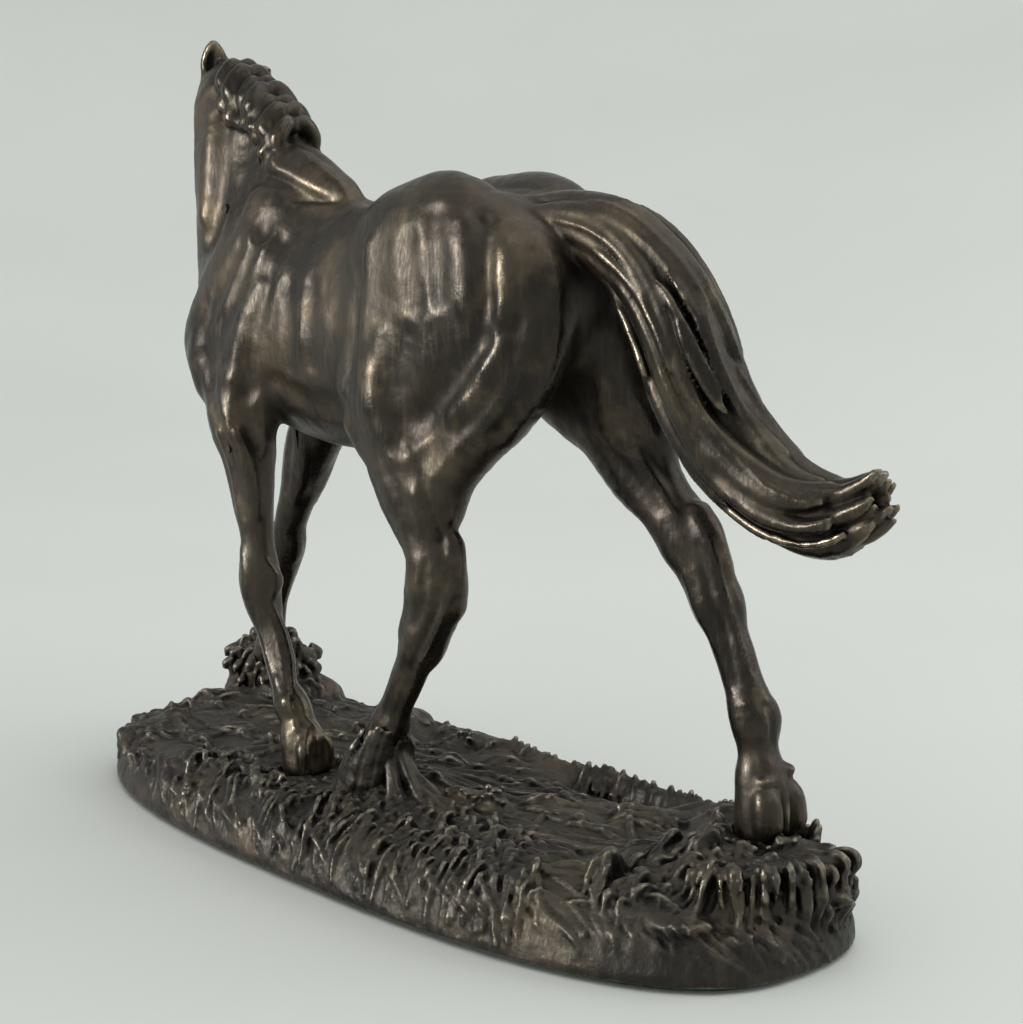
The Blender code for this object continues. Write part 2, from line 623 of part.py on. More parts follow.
def skin_distance(clay, start, direction):
    """How far the clay's surface is from a point inside it, along a unit direction."""
    travelled = 0.0
    while travelled < 60:
        place = np.array(start) + np.array(direction) * travelled
        corner = np.floor((place - clay.low) / clay.cell).astype(int)
        share = (place - clay.low) / clay.cell - corner
        value = 0.0
        for x, y, z in ((x, y, z) for x in (0, 1) for y in (0, 1) for z in (0, 1)):
            weight = np.prod(np.where((x, y, z), share, 1 - share))
            value += weight * clay.field[corner[0] + x, corner[1] + y, corner[2] + z]
        if value > 0:
            return travelled
        travelled += 0.1
    raise ValueError("no surface along this line")


# ---- the castings and what holds them ---------------------------------------------------

class Foundry:
    """Holds what every section shares: the clay, its mesh, the core and the materials."""

    def __init__(self):
        self.bronze = paint("bronze", BRONZE, 0.38, 0.9)
        self.dark = paint("bronze_dark", BRONZE_DARK, 0.5, 0.85)
        self.pin = paint("bronze_pin", BRONZE_WORN, 0.4, 0.9)
        self.horse = model_horse(CLAY_CELL)
        self.horse_mesh = clay_mesh("horse_clay", self.horse)
        self.core_mesh = clay_mesh("core_clay", model_core())

    def casting(self, name, material):
        thing = add_object(name, self.horse_mesh.copy(), material)
        thin_out(thing, HORSE_SHARE)
        return thing

    def core(self, name):
        thing = as_cutter(add_object(name, self.core_mesh.copy()))
        thin_out(thing, CORE_SHARE)
        return thing


def spigot_line(name):
    centre = Vector(SPIGOTS[name])
    out = Vector(SEAMS[name][1]).normalized()
    return centre, out


def cross_pin(clay, name, centre, direction, reach, radius, material):
    """A pin driven in from the surface, blind, and the bore it leaves in what it crosses."""
    direction = Vector(direction).normalized()
    outer = centre + direction * (skin_distance(clay, centre, direction) - PIN_BELOW_SKIN)
    inner = centre - direction * reach
    rod(name, inner, outer, radius, material)
    bore = rod(f"cut_{name}", inner - direction * 2 * GAP, outer + direction * 6, radius + GAP)
    return as_cutter(bore)


def build_torso(foundry):
    torso = foundry.casting("torso_casting", foundry.bronze)
    for name in SEAMS:
        boolean(torso, seam_block(name, -GAP))
    boolean(torso, foundry.core("cut_torso_core"))
    for name in SPIGOTS:
        centre, out = spigot_line(name)
        socket = rod(f"cut_socket_{name}", centre + out * 2, centre - out * (SPIGOT_LENGTH + 2 * GAP),
                     SPIGOT_RADIUS + GAP)
        boolean(torso, as_cutter(socket))
    return torso


def build_neck(foundry, torso):
    neck = foundry.casting("neck_and_head_casting", foundry.bronze)
    boolean(neck, seam_block("neck", GAP), "INTERSECT")
    sleeve = foundry.core("cut_neck_sleeve")
    shrink = sleeve.modifiers.new("shrink", "DISPLACE")
    shrink.strength = -2 * GAP * MM
    shrink.mid_level = 0
    point, _, _, out = seam_axes("neck")
    slab = rod("cut_sleeve_slab", point - out * SLEEVE_LENGTH, point + out * 4, 60)
    boolean(sleeve, as_cutter(slab), "INTERSECT")
    boolean(neck, sleeve, "UNION")
    hollow = as_cutter(add_object("cut_neck_hollow", clay_mesh("neck_hollow_clay", model_neck_hollow())))
    boolean(neck, hollow)
    middle = point - out * SLEEVE_LENGTH / 2
    for side, word in ((-1, "left"), (1, "right")):
        depth = skin_distance(foundry.horse, middle, (0, side, 0)) - HORSE_WALL - SLEEVE_WALL
        bore = cross_pin(foundry.horse, f"neck_pin_{word}", middle, (0, side, 0), -depth, NECK_PIN_RADIUS,
                         foundry.pin)
        boolean(torso, bore)
        boolean(neck, bore)


def build_limb(foundry, torso, name, node, pin_direction):
    limb = foundry.casting(node, foundry.bronze)
    boolean(limb, seam_block(name, GAP), "INTERSECT")
    centre, out = spigot_line(name)
    spigot = rod(f"cut_spigot_{name}", centre + out * SPIGOT_ROOT, centre - out * SPIGOT_LENGTH,
                 SPIGOT_RADIUS)
    boolean(limb, as_cutter(spigot), "UNION")
    middle = centre - out * SPIGOT_LENGTH / 2
    bore = cross_pin(foundry.horse, f"{name}_pin", middle, pin_direction, SPIGOT_RADIUS + PIN_PAST_SPIGOT,
                     PIN_RADIUS, foundry.pin)
    boolean(torso, bore)
    boolean(limb, bore)
    return limb


def fit_hoof(limb, base, name):
    """Flatten the hoof, sink it in the turf, and bolt it down through the deck."""
    x, y, ground = HOOVES[name]
    stud_metal = bpy.data.materials["steel"]
    flat = rod(f"cut_ground_{name}", (x, y, ground - 30), (x, y, ground + GAP), 22)
    pocket = rod(f"cut_pocket_{name}", (x, y, ground - GAP), (x, y, ground + 40), POCKET_RADIUS, sides=24)
    boolean(limb, as_cutter(flat))
    boolean(base, as_cutter(pocket))
    washer_low = ground - DECK_UNDER_HOOF - 2 * GAP - WASHER_THICKNESS
    nut_low = washer_low - 2 * GAP - NUT_THICKNESS
    stud_low, stud_high = nut_low - STUD_PROUD, ground + STUD_IN_HOOF
    rod(f"{name}_stud", (x, y, stud_low), (x, y, stud_high), STUD_RADIUS, stud_metal)
    bore = as_cutter(rod(f"cut_stud_{name}", (x, y, 0), (x, y, stud_high + 2 * GAP), STUD_RADIUS + GAP))
    boolean(limb, bore)
    boolean(base, bore)
    collar(f"{name}_washer", (x, y, washer_low), lambda angle: WASHER_RADIUS, STUD_RADIUS + GAP,
           WASHER_THICKNESS, stud_metal)
    collar(f"{name}_nut", (x, y, nut_low), hexagon, STUD_RADIUS + GAP, NUT_THICKNESS,
           bpy.data.materials["brass"])


def build_base(foundry):
    """A shell open underneath, with a boss under every hoof and a track for the deep-set one."""
    base = add_object("base_casting", clay_mesh("turf_clay", model_turf()), foundry.dark)
    thin_out(base, TURF_SHARE)
    boolean(base, as_cutter(rod("cut_underside", (0, 0, -40), (0, 0, CASTING_BOTTOM), 200)))
    hollow = as_cutter(add_object("cut_hollow", clay_mesh("hollow_clay", model_hollow())))
    thin_out(hollow, HOLLOW_SHARE)
    for name, (x, y, ground) in HOOVES.items():
        boss = rod(f"cut_boss_{name}", (x, y, ground - DECK_UNDER_HOOF), (x, y, 60), BOSS_RADIUS)
        boolean(hollow, as_cutter(boss))
    boolean(hollow, as_cutter(rod("cut_track_boss", *TRACK, TRACK_RADIUS + BASE_WALL)))
    boolean(base, hollow)
    boolean(base, as_cutter(rod("cut_track", *TRACK, TRACK_RADIUS)))
    extruded("base_felt_pad", outline(FELT_INSET), 0, FELT_THICKNESS, paint("felt", FELT, 0.95, 0.0))
    return base


def main():
    clear_scene()
    paint("steel", STEEL, 0.35, 1.0)
    paint("brass", BRASS, 0.35, 1.0)
    foundry = Foundry()
    base = build_base(foundry)
    torso = build_torso(foundry)
    build_neck(foundry, torso)
    build_limb(foundry, torso, "tail", "tail_casting", (0, 0, 1))
    for name in HOOVES:
        side = -1 if name.startswith("left") else 1
        limb = build_limb(foundry, torso, name, f"{name}_leg_casting", (0, side, 0))
        fit_hoof(limb, base, name)


main()
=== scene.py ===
"""The finished look of a striding horse statuette: patinated bronze on a turf base.

The horse is modelled as fine clay, cut at the foundry's seams into its castings, and given a
patina with painted shade in its recesses. The turf base is a second clay. Pins, studs, washers,
nuts and the felt pad are the CAD nodes with better materials. Lengths are in millimetres until a
mesh is made; the horse walks towards -X and its left side is -Y.
"""
import json
import math

import bmesh
import bpy
import numpy as np
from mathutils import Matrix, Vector

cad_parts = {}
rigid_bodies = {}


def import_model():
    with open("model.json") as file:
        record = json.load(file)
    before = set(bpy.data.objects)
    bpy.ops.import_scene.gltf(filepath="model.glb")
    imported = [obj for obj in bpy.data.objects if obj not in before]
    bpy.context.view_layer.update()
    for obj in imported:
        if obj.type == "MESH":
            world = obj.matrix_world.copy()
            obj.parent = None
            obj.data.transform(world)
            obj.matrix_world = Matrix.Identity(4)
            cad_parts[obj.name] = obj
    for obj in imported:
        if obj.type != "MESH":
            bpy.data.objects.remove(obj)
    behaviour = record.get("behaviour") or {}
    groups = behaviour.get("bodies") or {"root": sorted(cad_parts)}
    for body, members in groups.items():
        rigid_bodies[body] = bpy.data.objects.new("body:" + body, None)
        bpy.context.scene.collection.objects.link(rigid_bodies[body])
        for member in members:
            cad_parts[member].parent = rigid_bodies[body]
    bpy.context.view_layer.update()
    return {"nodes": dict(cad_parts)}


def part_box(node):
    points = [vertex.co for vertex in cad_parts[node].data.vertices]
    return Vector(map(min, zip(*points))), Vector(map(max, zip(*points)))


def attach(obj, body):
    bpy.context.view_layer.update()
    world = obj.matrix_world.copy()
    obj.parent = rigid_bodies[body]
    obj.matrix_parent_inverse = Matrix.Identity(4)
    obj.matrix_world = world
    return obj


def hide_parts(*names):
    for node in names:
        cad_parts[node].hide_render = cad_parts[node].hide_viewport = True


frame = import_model()

MM = 0.001
FAR = 1000.0                    # beyond any clay; as a step, it leaves the rows of a path as they are
HORSE_CELL = 0.8
TURF_CELL = 0.68
LEFT, RIGHT, UP, BACK = (0, -1, 0), (0, 1, 0), (0, 0, 1), (1, 0, 0)

BASE_LOW, BASE_HIGH = (np.array(corner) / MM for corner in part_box("base_casting"))
BASE_SQUARENESS = 2.66
BASE_WALL = 5.0
TAPER = 0.19
HOLLOW_TOP = 20.0
DECK_UNDER_HOOF = 10.0
BOSS_RADIUS = 13.0
STUD_CLEARANCE = 1.7
HOOF_GAP = 0.3
HOOF_REACH = 16                 # half the side of the box around a hoof, for trimming its sole
TRIM_BLEND = 0.3
TURF_EDGE = 13.0                # below this height, the base is its side and no longer its top
TURF_LEVEL = 18.5
SHOULDER_BLEND = 14             # how widely the base's top turns over into its side
# Rises and a dip of the turf: height, then centre and width in X, then in Y.
RISES = ((6, 112, 26, 12, 26), (6, -128, 28, 28, 22), (-6, 52, 40, 46, 20))
BELOW_ALL = -60

SEARCH_STEP = 0.4               # how finely a line is followed when it looks for the clay
SEAM_REACH = 3.0                # how far from a seam the faces are gathered for the cut
SAME_PLACE = 1e-6
FINE_ROUNDS, BROAD_ROUNDS = 5, 45       # smoothing that tells what is raised, and what is proud
RAISED_GAIN, PROUD_GAIN = 1.6, 0.25
HORSE_CREVICES, TURF_CREVICES = (3, 7, 14), (2, 4, 8)   # how far ahead a vertex feels for clay, which sets the painted shade in recesses
# Hand-worked unevenness of a surface: height, size and seed.
HORSE_LUMPS = ((0.16, 9, 3), (0.07, 4, 5))
TURF_LUMPS = (0.12, 3.5, 9)
RIPPLE_WAVES = 10
SEEDS = {"forelock": 4, "mane": 21, "tail": 8, "tail_tip": 17, "turf": 12}

# Every hoof: where its stud stands, and the height of the turf under it.
HOOVES = {
    "left_fore": (-37.5, -24.0, 18.5),
    "right_fore": (-129.0, 22.0, 19.5),
    "left_hind": (-9.5, -22.0, 18.5),
    "right_hind": (114.5, 20.0, 26.5),
}
# Every seam: a point on it, the direction that leaves the torso, and the block beyond it that
# holds the section, along the seam's (across, Y, out) directions.
SEAMS = {
    "neck": ((-96, 0, 196), (-0.60, 0, 0.80), ((-120, 120), (-70, 70), (0, 120))),
    "tail": ((70, 0, 172), (0.876, 0, 0.484), ((-150, 150), (-60, 60), (0, 160))),
    "left_fore": ((-69, -22, 114), (0, 0, -1), ((-45, 45), (-30, 20), (0, 125))),
    "right_fore": ((-91, 19, 112), (-0.3, 0, -0.954), ((-40, 70), (-17, 30), (0, 125))),
    "left_hind": ((17.5, -23, 114), (0, 0, -1), ((-45, 45), (-30, 20), (0, 125))),
    "right_hind": ((68, 18, 117), (0.76, 0, -0.65), ((-17, 80), (-16, 30), (0, 140))),
}
PIECES = {
    "torso": ("bronze_torso", "torso_casting"),
    "neck": ("bronze_neck_and_head", "neck_and_head_casting"),
    "tail": ("bronze_tail", "tail_casting"),
    "left_fore": ("bronze_left_fore_leg", "left_fore_leg_casting"),
    "right_fore": ("bronze_right_fore_leg", "right_fore_leg_casting"),
    "left_hind": ("bronze_left_hind_leg", "left_hind_leg_casting"),
    "right_hind": ("bronze_right_hind_leg", "right_hind_leg_casting"),
}

CAMERA_PLACE = (0.4911, -0.4138, 0.21675)
CAMERA_TURN = math.radians(48.01)
CAMERA_TILT = math.radians(9.98)
CAMERA_LENS = 75.6
CAMERA_SENSOR = 36.0


def unit(direction):
    direction = np.asarray(direction, float)
    return direction / np.linalg.norm(direction)


# ---- clay: a signed distance on a grid, negative inside ---------------------------------

def smooth_path(rows, step):
    """Catmull-Rom through rows of position and radii, with a row about every step."""
    rows = np.asarray(rows, float)
    rows = np.vstack([2 * rows[0] - rows[1], rows, 2 * rows[-1] - rows[-2]])
    out = []
    for a, b, c, d in zip(rows, rows[1:], rows[2:], rows[3:]):
        count = max(1, math.ceil(np.linalg.norm((c - b)[:3]) / step))
        t = (np.arange(count) / count)[:, None]
        out.append(0.5 * (2 * b + (c - a) * t + (2 * a - 5 * b + 4 * c - d) * t ** 2
                          + (3 * b - a - 3 * c + d) * t ** 3))
    out.append(rows[-2][None])
    return np.vstack(out)


class Clay:
    def __init__(self, low, high, cell):
        self.low = np.array(low, float)
        self.cell = cell
        counts = np.ceil((np.array(high) - self.low) / cell).astype(int) + 1
        self.field = np.full(counts, FAR, np.float32)
        self.axes = [(low + cell * np.arange(count)).astype(np.float32)
                     for low, count in zip(self.low, counts)]

    def blank(self):
        """Empty clay on the same grid."""
        other = Clay.__new__(Clay)
        other.low, other.cell, other.axes = self.low, self.cell, self.axes
        other.field = np.full(self.field.shape, FAR, np.float32)
        return other

    def window(self, low, high, inside=None):
        counts = np.array(self.field.shape)
        first, last = ((np.array(corner) - self.low) / self.cell for corner in (low, high))
        first = np.clip(np.floor(first).astype(int), 0, counts - 1)
        last = np.clip(np.ceil(last).astype(int) + 1, first + 1, counts)
        found = [slice(a, b) for a, b in zip(first, last)]
        if inside:
            found = [slice(max(f.start, i.start), min(f.stop, i.stop))
                     for f, i in zip(found, inside)]
        return tuple(found)

    def grid(self, window):
        x, y, z = (axis[cut] for axis, cut in zip(self.axes, window))
        return x[:, None, None], y[None, :, None], z[None, None, :]

    def add(self, window, shape, blend):
        field = self.field[window]
        near = np.maximum(blend - np.abs(field - shape), 0)
        self.field[window] = np.minimum(field, shape) - near * near / (4 * blend)

    def carve(self, window, shape, blend):
        field = self.field[window]
        near = np.maximum(blend - np.abs(field + shape), 0)
        self.field[window] = np.maximum(field, -shape) + near * near / (4 * blend)

    def ball(self, centre, radii, blend, cut=False):
        centre = np.array(centre, float)
        radii = np.broadcast_to(np.array(radii, float), 3)
        reach = radii.max() + blend + self.cell
        window = self.window(centre - reach, centre + reach)
        offsets = [g - np.float32(c) for g, c in zip(self.grid(window), centre)]
        near = np.sqrt(sum((o / r) ** 2 for o, r in zip(offsets, radii)))
        steep = np.sqrt(sum((o / r ** 2) ** 2 for o, r in zip(offsets, radii))) + 1e-6
        (self.carve if cut else self.add)(window, near * (near - 1) / steep, blend)

    def limb_shape(self, rows, pad, side, step):
        """Distance to a run of round cones; the radius along side may differ from the other."""
        rows = [tuple(row) + (row[3],) * (len(row) == 4) for row in rows]
        step = step or max(1.5, 0.4 * np.mean([row[3] for row in rows]))
        path = smooth_path(rows, step).astype(np.float32)
        radii = path[:, 3:].max(axis=1)[:, None] + pad
        window = self.window((path[:, :3] - radii).min(axis=0), (path[:, :3] + radii).max(axis=0))
        shape = np.full([w.stop - w.start for w in window], FAR, np.float32)
        for a, b in zip(path, path[1:]):
            reach = max(a[3:].max(), b[3:].max()) + pad
            low, high = np.minimum(a[:3], b[:3]) - reach, np.maximum(a[:3], b[:3]) + reach
            part = self.window(low, high, window)
            if any(p.stop <= p.start for p in part):
                continue
            line = (b - a)[:3]
            offset = [g - start for g, start in zip(self.grid(part), a)]
            t = np.clip(sum(o * d for o, d in zip(offset, line)) / (line @ line), 0, 1)
            offset = [o - d * t for o, d in zip(offset, line)]
            deep, wide = (a[i] + (b[i] - a[i]) * t for i in (3, 4))
            length2 = sum(o * o for o in offset)
            if abs(path[:, 3] - path[:, 4]).max() < 0.01:
                distance = np.sqrt(length2) - deep
            else:
                lateral = sum(o * np.float32(s) for o, s in zip(offset, side))
                squash = (deep / wide) ** 2
                length = np.sqrt(np.maximum(length2 + lateral ** 2 * (squash - 1), 0))
                share = np.clip(lateral ** 2 * squash / np.maximum(length ** 2, 1e-6), 0, 1)
                distance = (length - deep) / np.sqrt(1 + np.maximum(squash - 1, 0) * share)
            local = tuple(slice(p.start - w.start, p.stop - w.start) for p, w in zip(part, window))
            shape[local] = np.minimum(shape[local], distance)
        return window, shape

    def limb(self, rows, blend, side=(0, 1, 0), step=None, cut=False):
        window, shape = self.limb_shape(rows, blend + self.cell, side, step)
        (self.carve if cut else self.add)(window, shape, blend)

    def slice_off(self, low, high, point, normal, blend):
        """Take away what lies beyond a plane, within a box."""
        window = self.window(low, high)
        beyond = sum((g - p) * n for g, p, n in zip(self.grid(window), point, unit(normal)))
        self.carve(window, (-beyond).astype(np.float32), blend)

    def sample(self, places):
        """The distance at places, read between the grid's corners."""
        scaled = (np.asarray(places) - self.low) / self.cell
        corner = np.clip(np.floor(scaled).astype(int), 0, np.array(self.field.shape) - 2)
        share = np.clip(scaled - corner, 0, 1)
        total = 0.0
        for x, y, z in ((x, y, z) for x in (0, 1) for y in (0, 1) for z in (0, 1)):
            weight = np.prod(np.where((x, y, z), share, 1 - share), axis=-1)
            near = corner + (x, y, z)
            total = total + weight * self.field[near[..., 0], near[..., 1], near[..., 2]]
        return total

    def surface(self, places, facing, reach=30.0):
        """Where lines that come in against facing, through each place, first meet the clay."""
        travel = np.arange(-reach, reach, SEARCH_STEP)
        lines = places[:, None, :] - facing * travel[None, :, None]
        values = self.sample(lines)
        first = (values < 0).argmax(axis=1)
        hit = (first > 0) & (values < 0).any(axis=1)
        rows = np.arange(len(places))
        before, after = values[rows, first - 1], values[rows, first]
        share = np.clip(before / np.where(before == after, 1, before - after), 0, 1)
        distance = travel[first] - SEARCH_STEP * (1 - share)
        return (places - facing * distance[:, None])[hit], hit

    def stroke(self, places, radius, height, blend=1.5, facing=LEFT, ease=0.7):
        """Raise a ridge along the surface, or with a negative height score a groove into it."""
        facing = unit(facing)
        path = smooth_path([tuple(place) for place in places], max(1.2, radius * 0.5))
        share = np.linspace(0, 1, len(path))
        swell = np.sin(np.pi * np.clip(share, 0.03, 0.97)) ** ease
        found, hit = self.surface(path, facing)
        swell = swell[hit]
        if len(found) < 2:
            return
        radii = radius * (0.4 + 0.6 * swell)
        sunk = height * swell - radii if height > 0 else radii + height * swell
        centres = found + facing * sunk[:, None]
        self.limb(np.column_stack([centres, radii]), blend, step=FAR, cut=height < 0)


# ---- from clay to mesh ------------------------------------------------------------------

def skin(clay):
    """Vertices and quads of the clay's surface, one vertex in each cell that it crosses."""
    field = clay.field
    inside = field < 0
    counts = np.array(field.shape)
    corners = np.array([(x, y, z) for x in (0, 1) for y in (0, 1) for z in (0, 1)])
    full = np.zeros(counts - 1, np.int8)
    for x, y, z in corners:
        full += inside[x:counts[0] - 1 + x, y:counts[1] - 1 + y, z:counts[2] - 1 + z]
    cells = np.argwhere((full > 0) & (full < 8))
    index = np.full(counts - 1, -1, np.int32)
    index[tuple(cells.T)] = np.arange(len(cells))
    values = np.stack([field[tuple((cells + corner).T)] for corner in corners], axis=1)
    total, hits = np.zeros((len(cells), 3)), np.zeros(len(cells))
    for i in range(8):
        for j in range(i + 1, 8):
            if abs(corners[i] - corners[j]).sum() != 1:
                continue
            crossed = (values[:, i] < 0) != (values[:, j] < 0)
            share = values[crossed, i] / (values[crossed, i] - values[crossed, j])
            total[crossed] += corners[i] + (corners[j] - corners[i]) * share[:, None]
            hits[crossed] += 1
    points = (cells + total / hits[:, None]) * clay.cell + clay.low
    quads = [edge_quads(inside, index, axis) for axis in range(3)]
    return points, np.vstack(quads)


def edge_quads(inside, index, axis):
    """One quad around every grid edge along an axis that the surface crosses."""
    cuts = [slice(None)] * 3
    near_cut, far_cut = list(cuts), list(cuts)
    near_cut[axis], far_cut[axis] = slice(None, -1), slice(1, None)
    near, beyond = inside[tuple(near_cut)], inside[tuple(far_cut)]
    edges = np.argwhere(near != beyond)
    first, second = [other for other in range(3) if other != axis]
    flip = near[tuple(edges.T)]
    if axis == 1:
        flip = ~flip
    around = []
    for back_first, back_second in ((1, 1), (0, 1), (0, 0), (1, 0)):
        cell = edges.copy()
        cell[:, first] -= back_first
        cell[:, second] -= back_second
        around.append(index[tuple(cell.T)])
    quads = np.stack(around, axis=1)
    quads[~flip] = quads[~flip][:, ::-1]
    return quads


class Skin:
    """A mesh in numpy, with what its vertices need for shaping, for the patina and for its painted shade."""

    def __init__(self, clay):
        self.clay = clay
        self.points, self.quads = skin(clay)
        links = np.vstack([self.quads[:, [i, (i + 1) % 4]] for i in range(4)])
        self.links = np.vstack([links, links[:, ::-1]])
        self.valence = np.bincount(self.links[:, 0], minlength=len(self.points))

    def keep_largest(self):
        """Drop whatever is not joined to the largest body, such as a blade's loose tip."""
        labels = np.arange(len(self.points))
        while True:
            lower = labels.copy()
            np.minimum.at(lower, self.links[:, 0], labels[self.links[:, 1]])
            lower = lower[lower]
            if (lower == labels).all():
                break
            labels = lower
        kept = labels == np.bincount(labels).argmax()
        renumber = np.cumsum(kept) - 1
        self.points = self.points[kept]
        self.quads = renumber[self.quads[kept[self.quads[:, 0]]]]
        self.links = renumber[self.links[kept[self.links[:, 0]]]]
        self.valence = np.bincount(self.links[:, 0], minlength=len(self.points))

    def mean_of_neighbours(self, values):
        total = np.zeros_like(values)
        for axis in range(values.shape[1]):
            total[:, axis] = np.bincount(self.links[:, 0], values[self.links[:, 1], axis], len(values))
        return total / self.valence[:, None]

    def relax(self, rounds):
        """Even out the grid's steps: move towards the neighbours, then part of the way back."""
        for amount in (0.5, -0.52) * rounds:
            self.points = self.points + amount * (self.mean_of_neighbours(self.points) - self.points)

    def normals(self):
        corners = self.points[self.quads]
        across = np.cross(corners[:, 2] - corners[:, 0], corners[:, 3] - corners[:, 1])
        total = np.zeros_like(self.points)
        for i in range(4):
            for axis in range(3):
                total[:, axis] += np.bincount(self.quads[:, i], across[:, axis], len(self.points))
        return total / np.maximum(np.linalg.norm(total, axis=1), 1e-9)[:, None]

    def raised(self, rounds):
        """How far each vertex stands out from its surroundings, in millimetres."""
        smooth = self.points
        for _ in range(rounds):
            smooth = smooth + 0.6 * (self.mean_of_neighbours(smooth) - smooth)
        return ((self.points - smooth) * self.normals()).sum(axis=1)

    def shut_in(self, reaches):
        """How much clay stands close in front of each vertex: 0 in the open, 1 in a crevice."""
        normals = self.normals()
        total = 0.0
        for reach in reaches:
            total = total + 1 - np.clip(self.clay.sample(self.points + normals * reach) / reach, 0, 1)
        return total / len(reaches)

    def mesh(self, name, attributes):
        mesh = bpy.data.meshes.new(name)
        mesh.vertices.add(len(self.points))
        mesh.vertices.foreach_set("co", (self.points * MM).astype(np.float32).ravel())
        mesh.loops.add(self.quads.size)
        mesh.loops.foreach_set("vertex_index", self.quads.astype(np.int32).ravel())
        mesh.polygons.add(len(self.quads))
        mesh.polygons.foreach_set("loop_start", np.arange(0, self.quads.size, 4, dtype=np.int32))
        mesh.update(calc_edges=True)
        for label, values in attributes.items():
            layer = mesh.attributes.new(label, "FLOAT", "POINT")
            layer.data.foreach_set("value", np.asarray(values, np.float32))
        mesh.shade_smooth()
        return mesh


def ripple(places, size, seed):
    """Smooth wandering values between about -1 and 1, with bumps of about that size."""
    random = np.random.default_rng(seed)
    total = np.zeros(len(places))
    for _ in range(RIPPLE_WAVES):
        direction = unit(random.normal(size=3)) * (2 * math.pi / size) * random.uniform(0.35, 0.75)
        total += np.sin(places @ direction + random.uniform(0, 2 * math.pi))
    return total / math.sqrt(RIPPLE_WAVES)


# ---- the horse, mass by mass. A row is x, y, z, radius fore-and-aft, radius sideways ----

def add_trunk(clay):
    barrel = [(-88, 0, 156, 25, 15), (-72, 0, 157, 33, 20.5), (-52, 0, 156, 36, 24),
              (-30, 0, 155.5, 36, 26), (-8, 0, 159, 34, 26), (10, 0, 165, 31, 25),
              (28, 0, 170, 28, 23), (42, 0, 172, 22, 18)]
    withers = [(-96, 0, 182, 12, 6), (-82, 0, 186, 12.5, 6.5), (-64, 0, 186, 11, 6.5), (-44, 0, 181, 12, 7)]
    croup = [(-25, 0, 176, 18, 16), (-2, 0, 180, 18, 19), (20, 0, 180, 19, 20), (38, 0, 180, 14, 15)]
    clay.limb(barrel, 1, step=5)
    clay.limb(withers, 14)
    clay.ball((-95, 0, 150), (15, 16, 24), 12)
    clay.limb(croup, 12)
    for side, back, lift in ((-1, 0, -1.5), (1, 4, 1.5)):
        clay.ball((2 + back, side * 17, 187 + lift), (16, 9.5, 13), 10)
        clay.limb([(8 + back, side * 14, 187 + lift, 14, 11), (28 + back, side * 14, 184 + lift, 17, 13),
                   (42, side * 11, 176, 17, 12)], 10)


def add_shoulder(clay, side, reach):
    """Shoulder blade, upper arm and triceps; reach is how far the leg swings forward."""
    blade = [(-70, side * 11, 187, 12, 5), (-77 - reach * 0.3, side * 14, 174, 15, 6.5),
             (-87 - reach * 0.6, side * 15.5, 161, 16, 7.5), (-94 - reach, side * 15, 149, 13, 8)]
    upper_arm = [(-95 - reach, side * 14.5, 150, 12, 8), (-88 - reach * 0.7, side * 17, 140, 13, 8.5),
                 (-79 - reach * 0.5, side * 18.5, 133, 12, 8)]
    triceps = [(-67, side * 16.5, 172, 13, 6), (-71 - reach * 0.2, side * 19, 152, 15, 8),
               (-72 - reach * 0.4, side * 19.5, 136, 11, 7.5)]
    for mass in (blade, upper_arm, triceps):
        clay.limb(mass, 7)


def add_neck(clay):
    crest = [(-78, 0, 180, 24, 13), (-91, 0, 191, 22, 12), (-102, 1, 205, 19, 11.5),
             (-110, 3, 219, 15, 9.5), (-115, 5, 229, 11.5, 8)]
    throat = [(-104, 0, 170, 14, 12), (-108, 0, 188, 12, 10), (-112, 2, 205, 10, 8.5), (-116, 4, 221, 8, 7)]
    mane_bed = [(-108, 3, 231, 5, 4.2), (-97, 3, 223, 6, 4.6), (-85, 2, 215, 7.4, 5), (-73, 1, 207, 8, 5.2),
                (-60, 0, 200, 8, 5.2), (-48, 0, 195.5, 6.5, 4.6), (-38, 0, 192, 4, 4)]
    clay.limb(crest, 12)
    clay.limb(throat, 8)
    clay.limb(mane_bed, 8)


class HeadFrame:
    """Places on the head: along it from the poll to the muzzle, out of the face, and to its right."""

    def __init__(self):
        self.poll = np.array((-116, 6, 230.0))
        self.down = unit((-0.46, 0.50, -0.73))
        self.side = unit(np.cross(self.down, UP))
        self.face = np.cross(self.side, self.down)

    def at(self, along, out=0.0, across=0.0):
        return self.poll + self.down * along + self.face * out + self.side * across


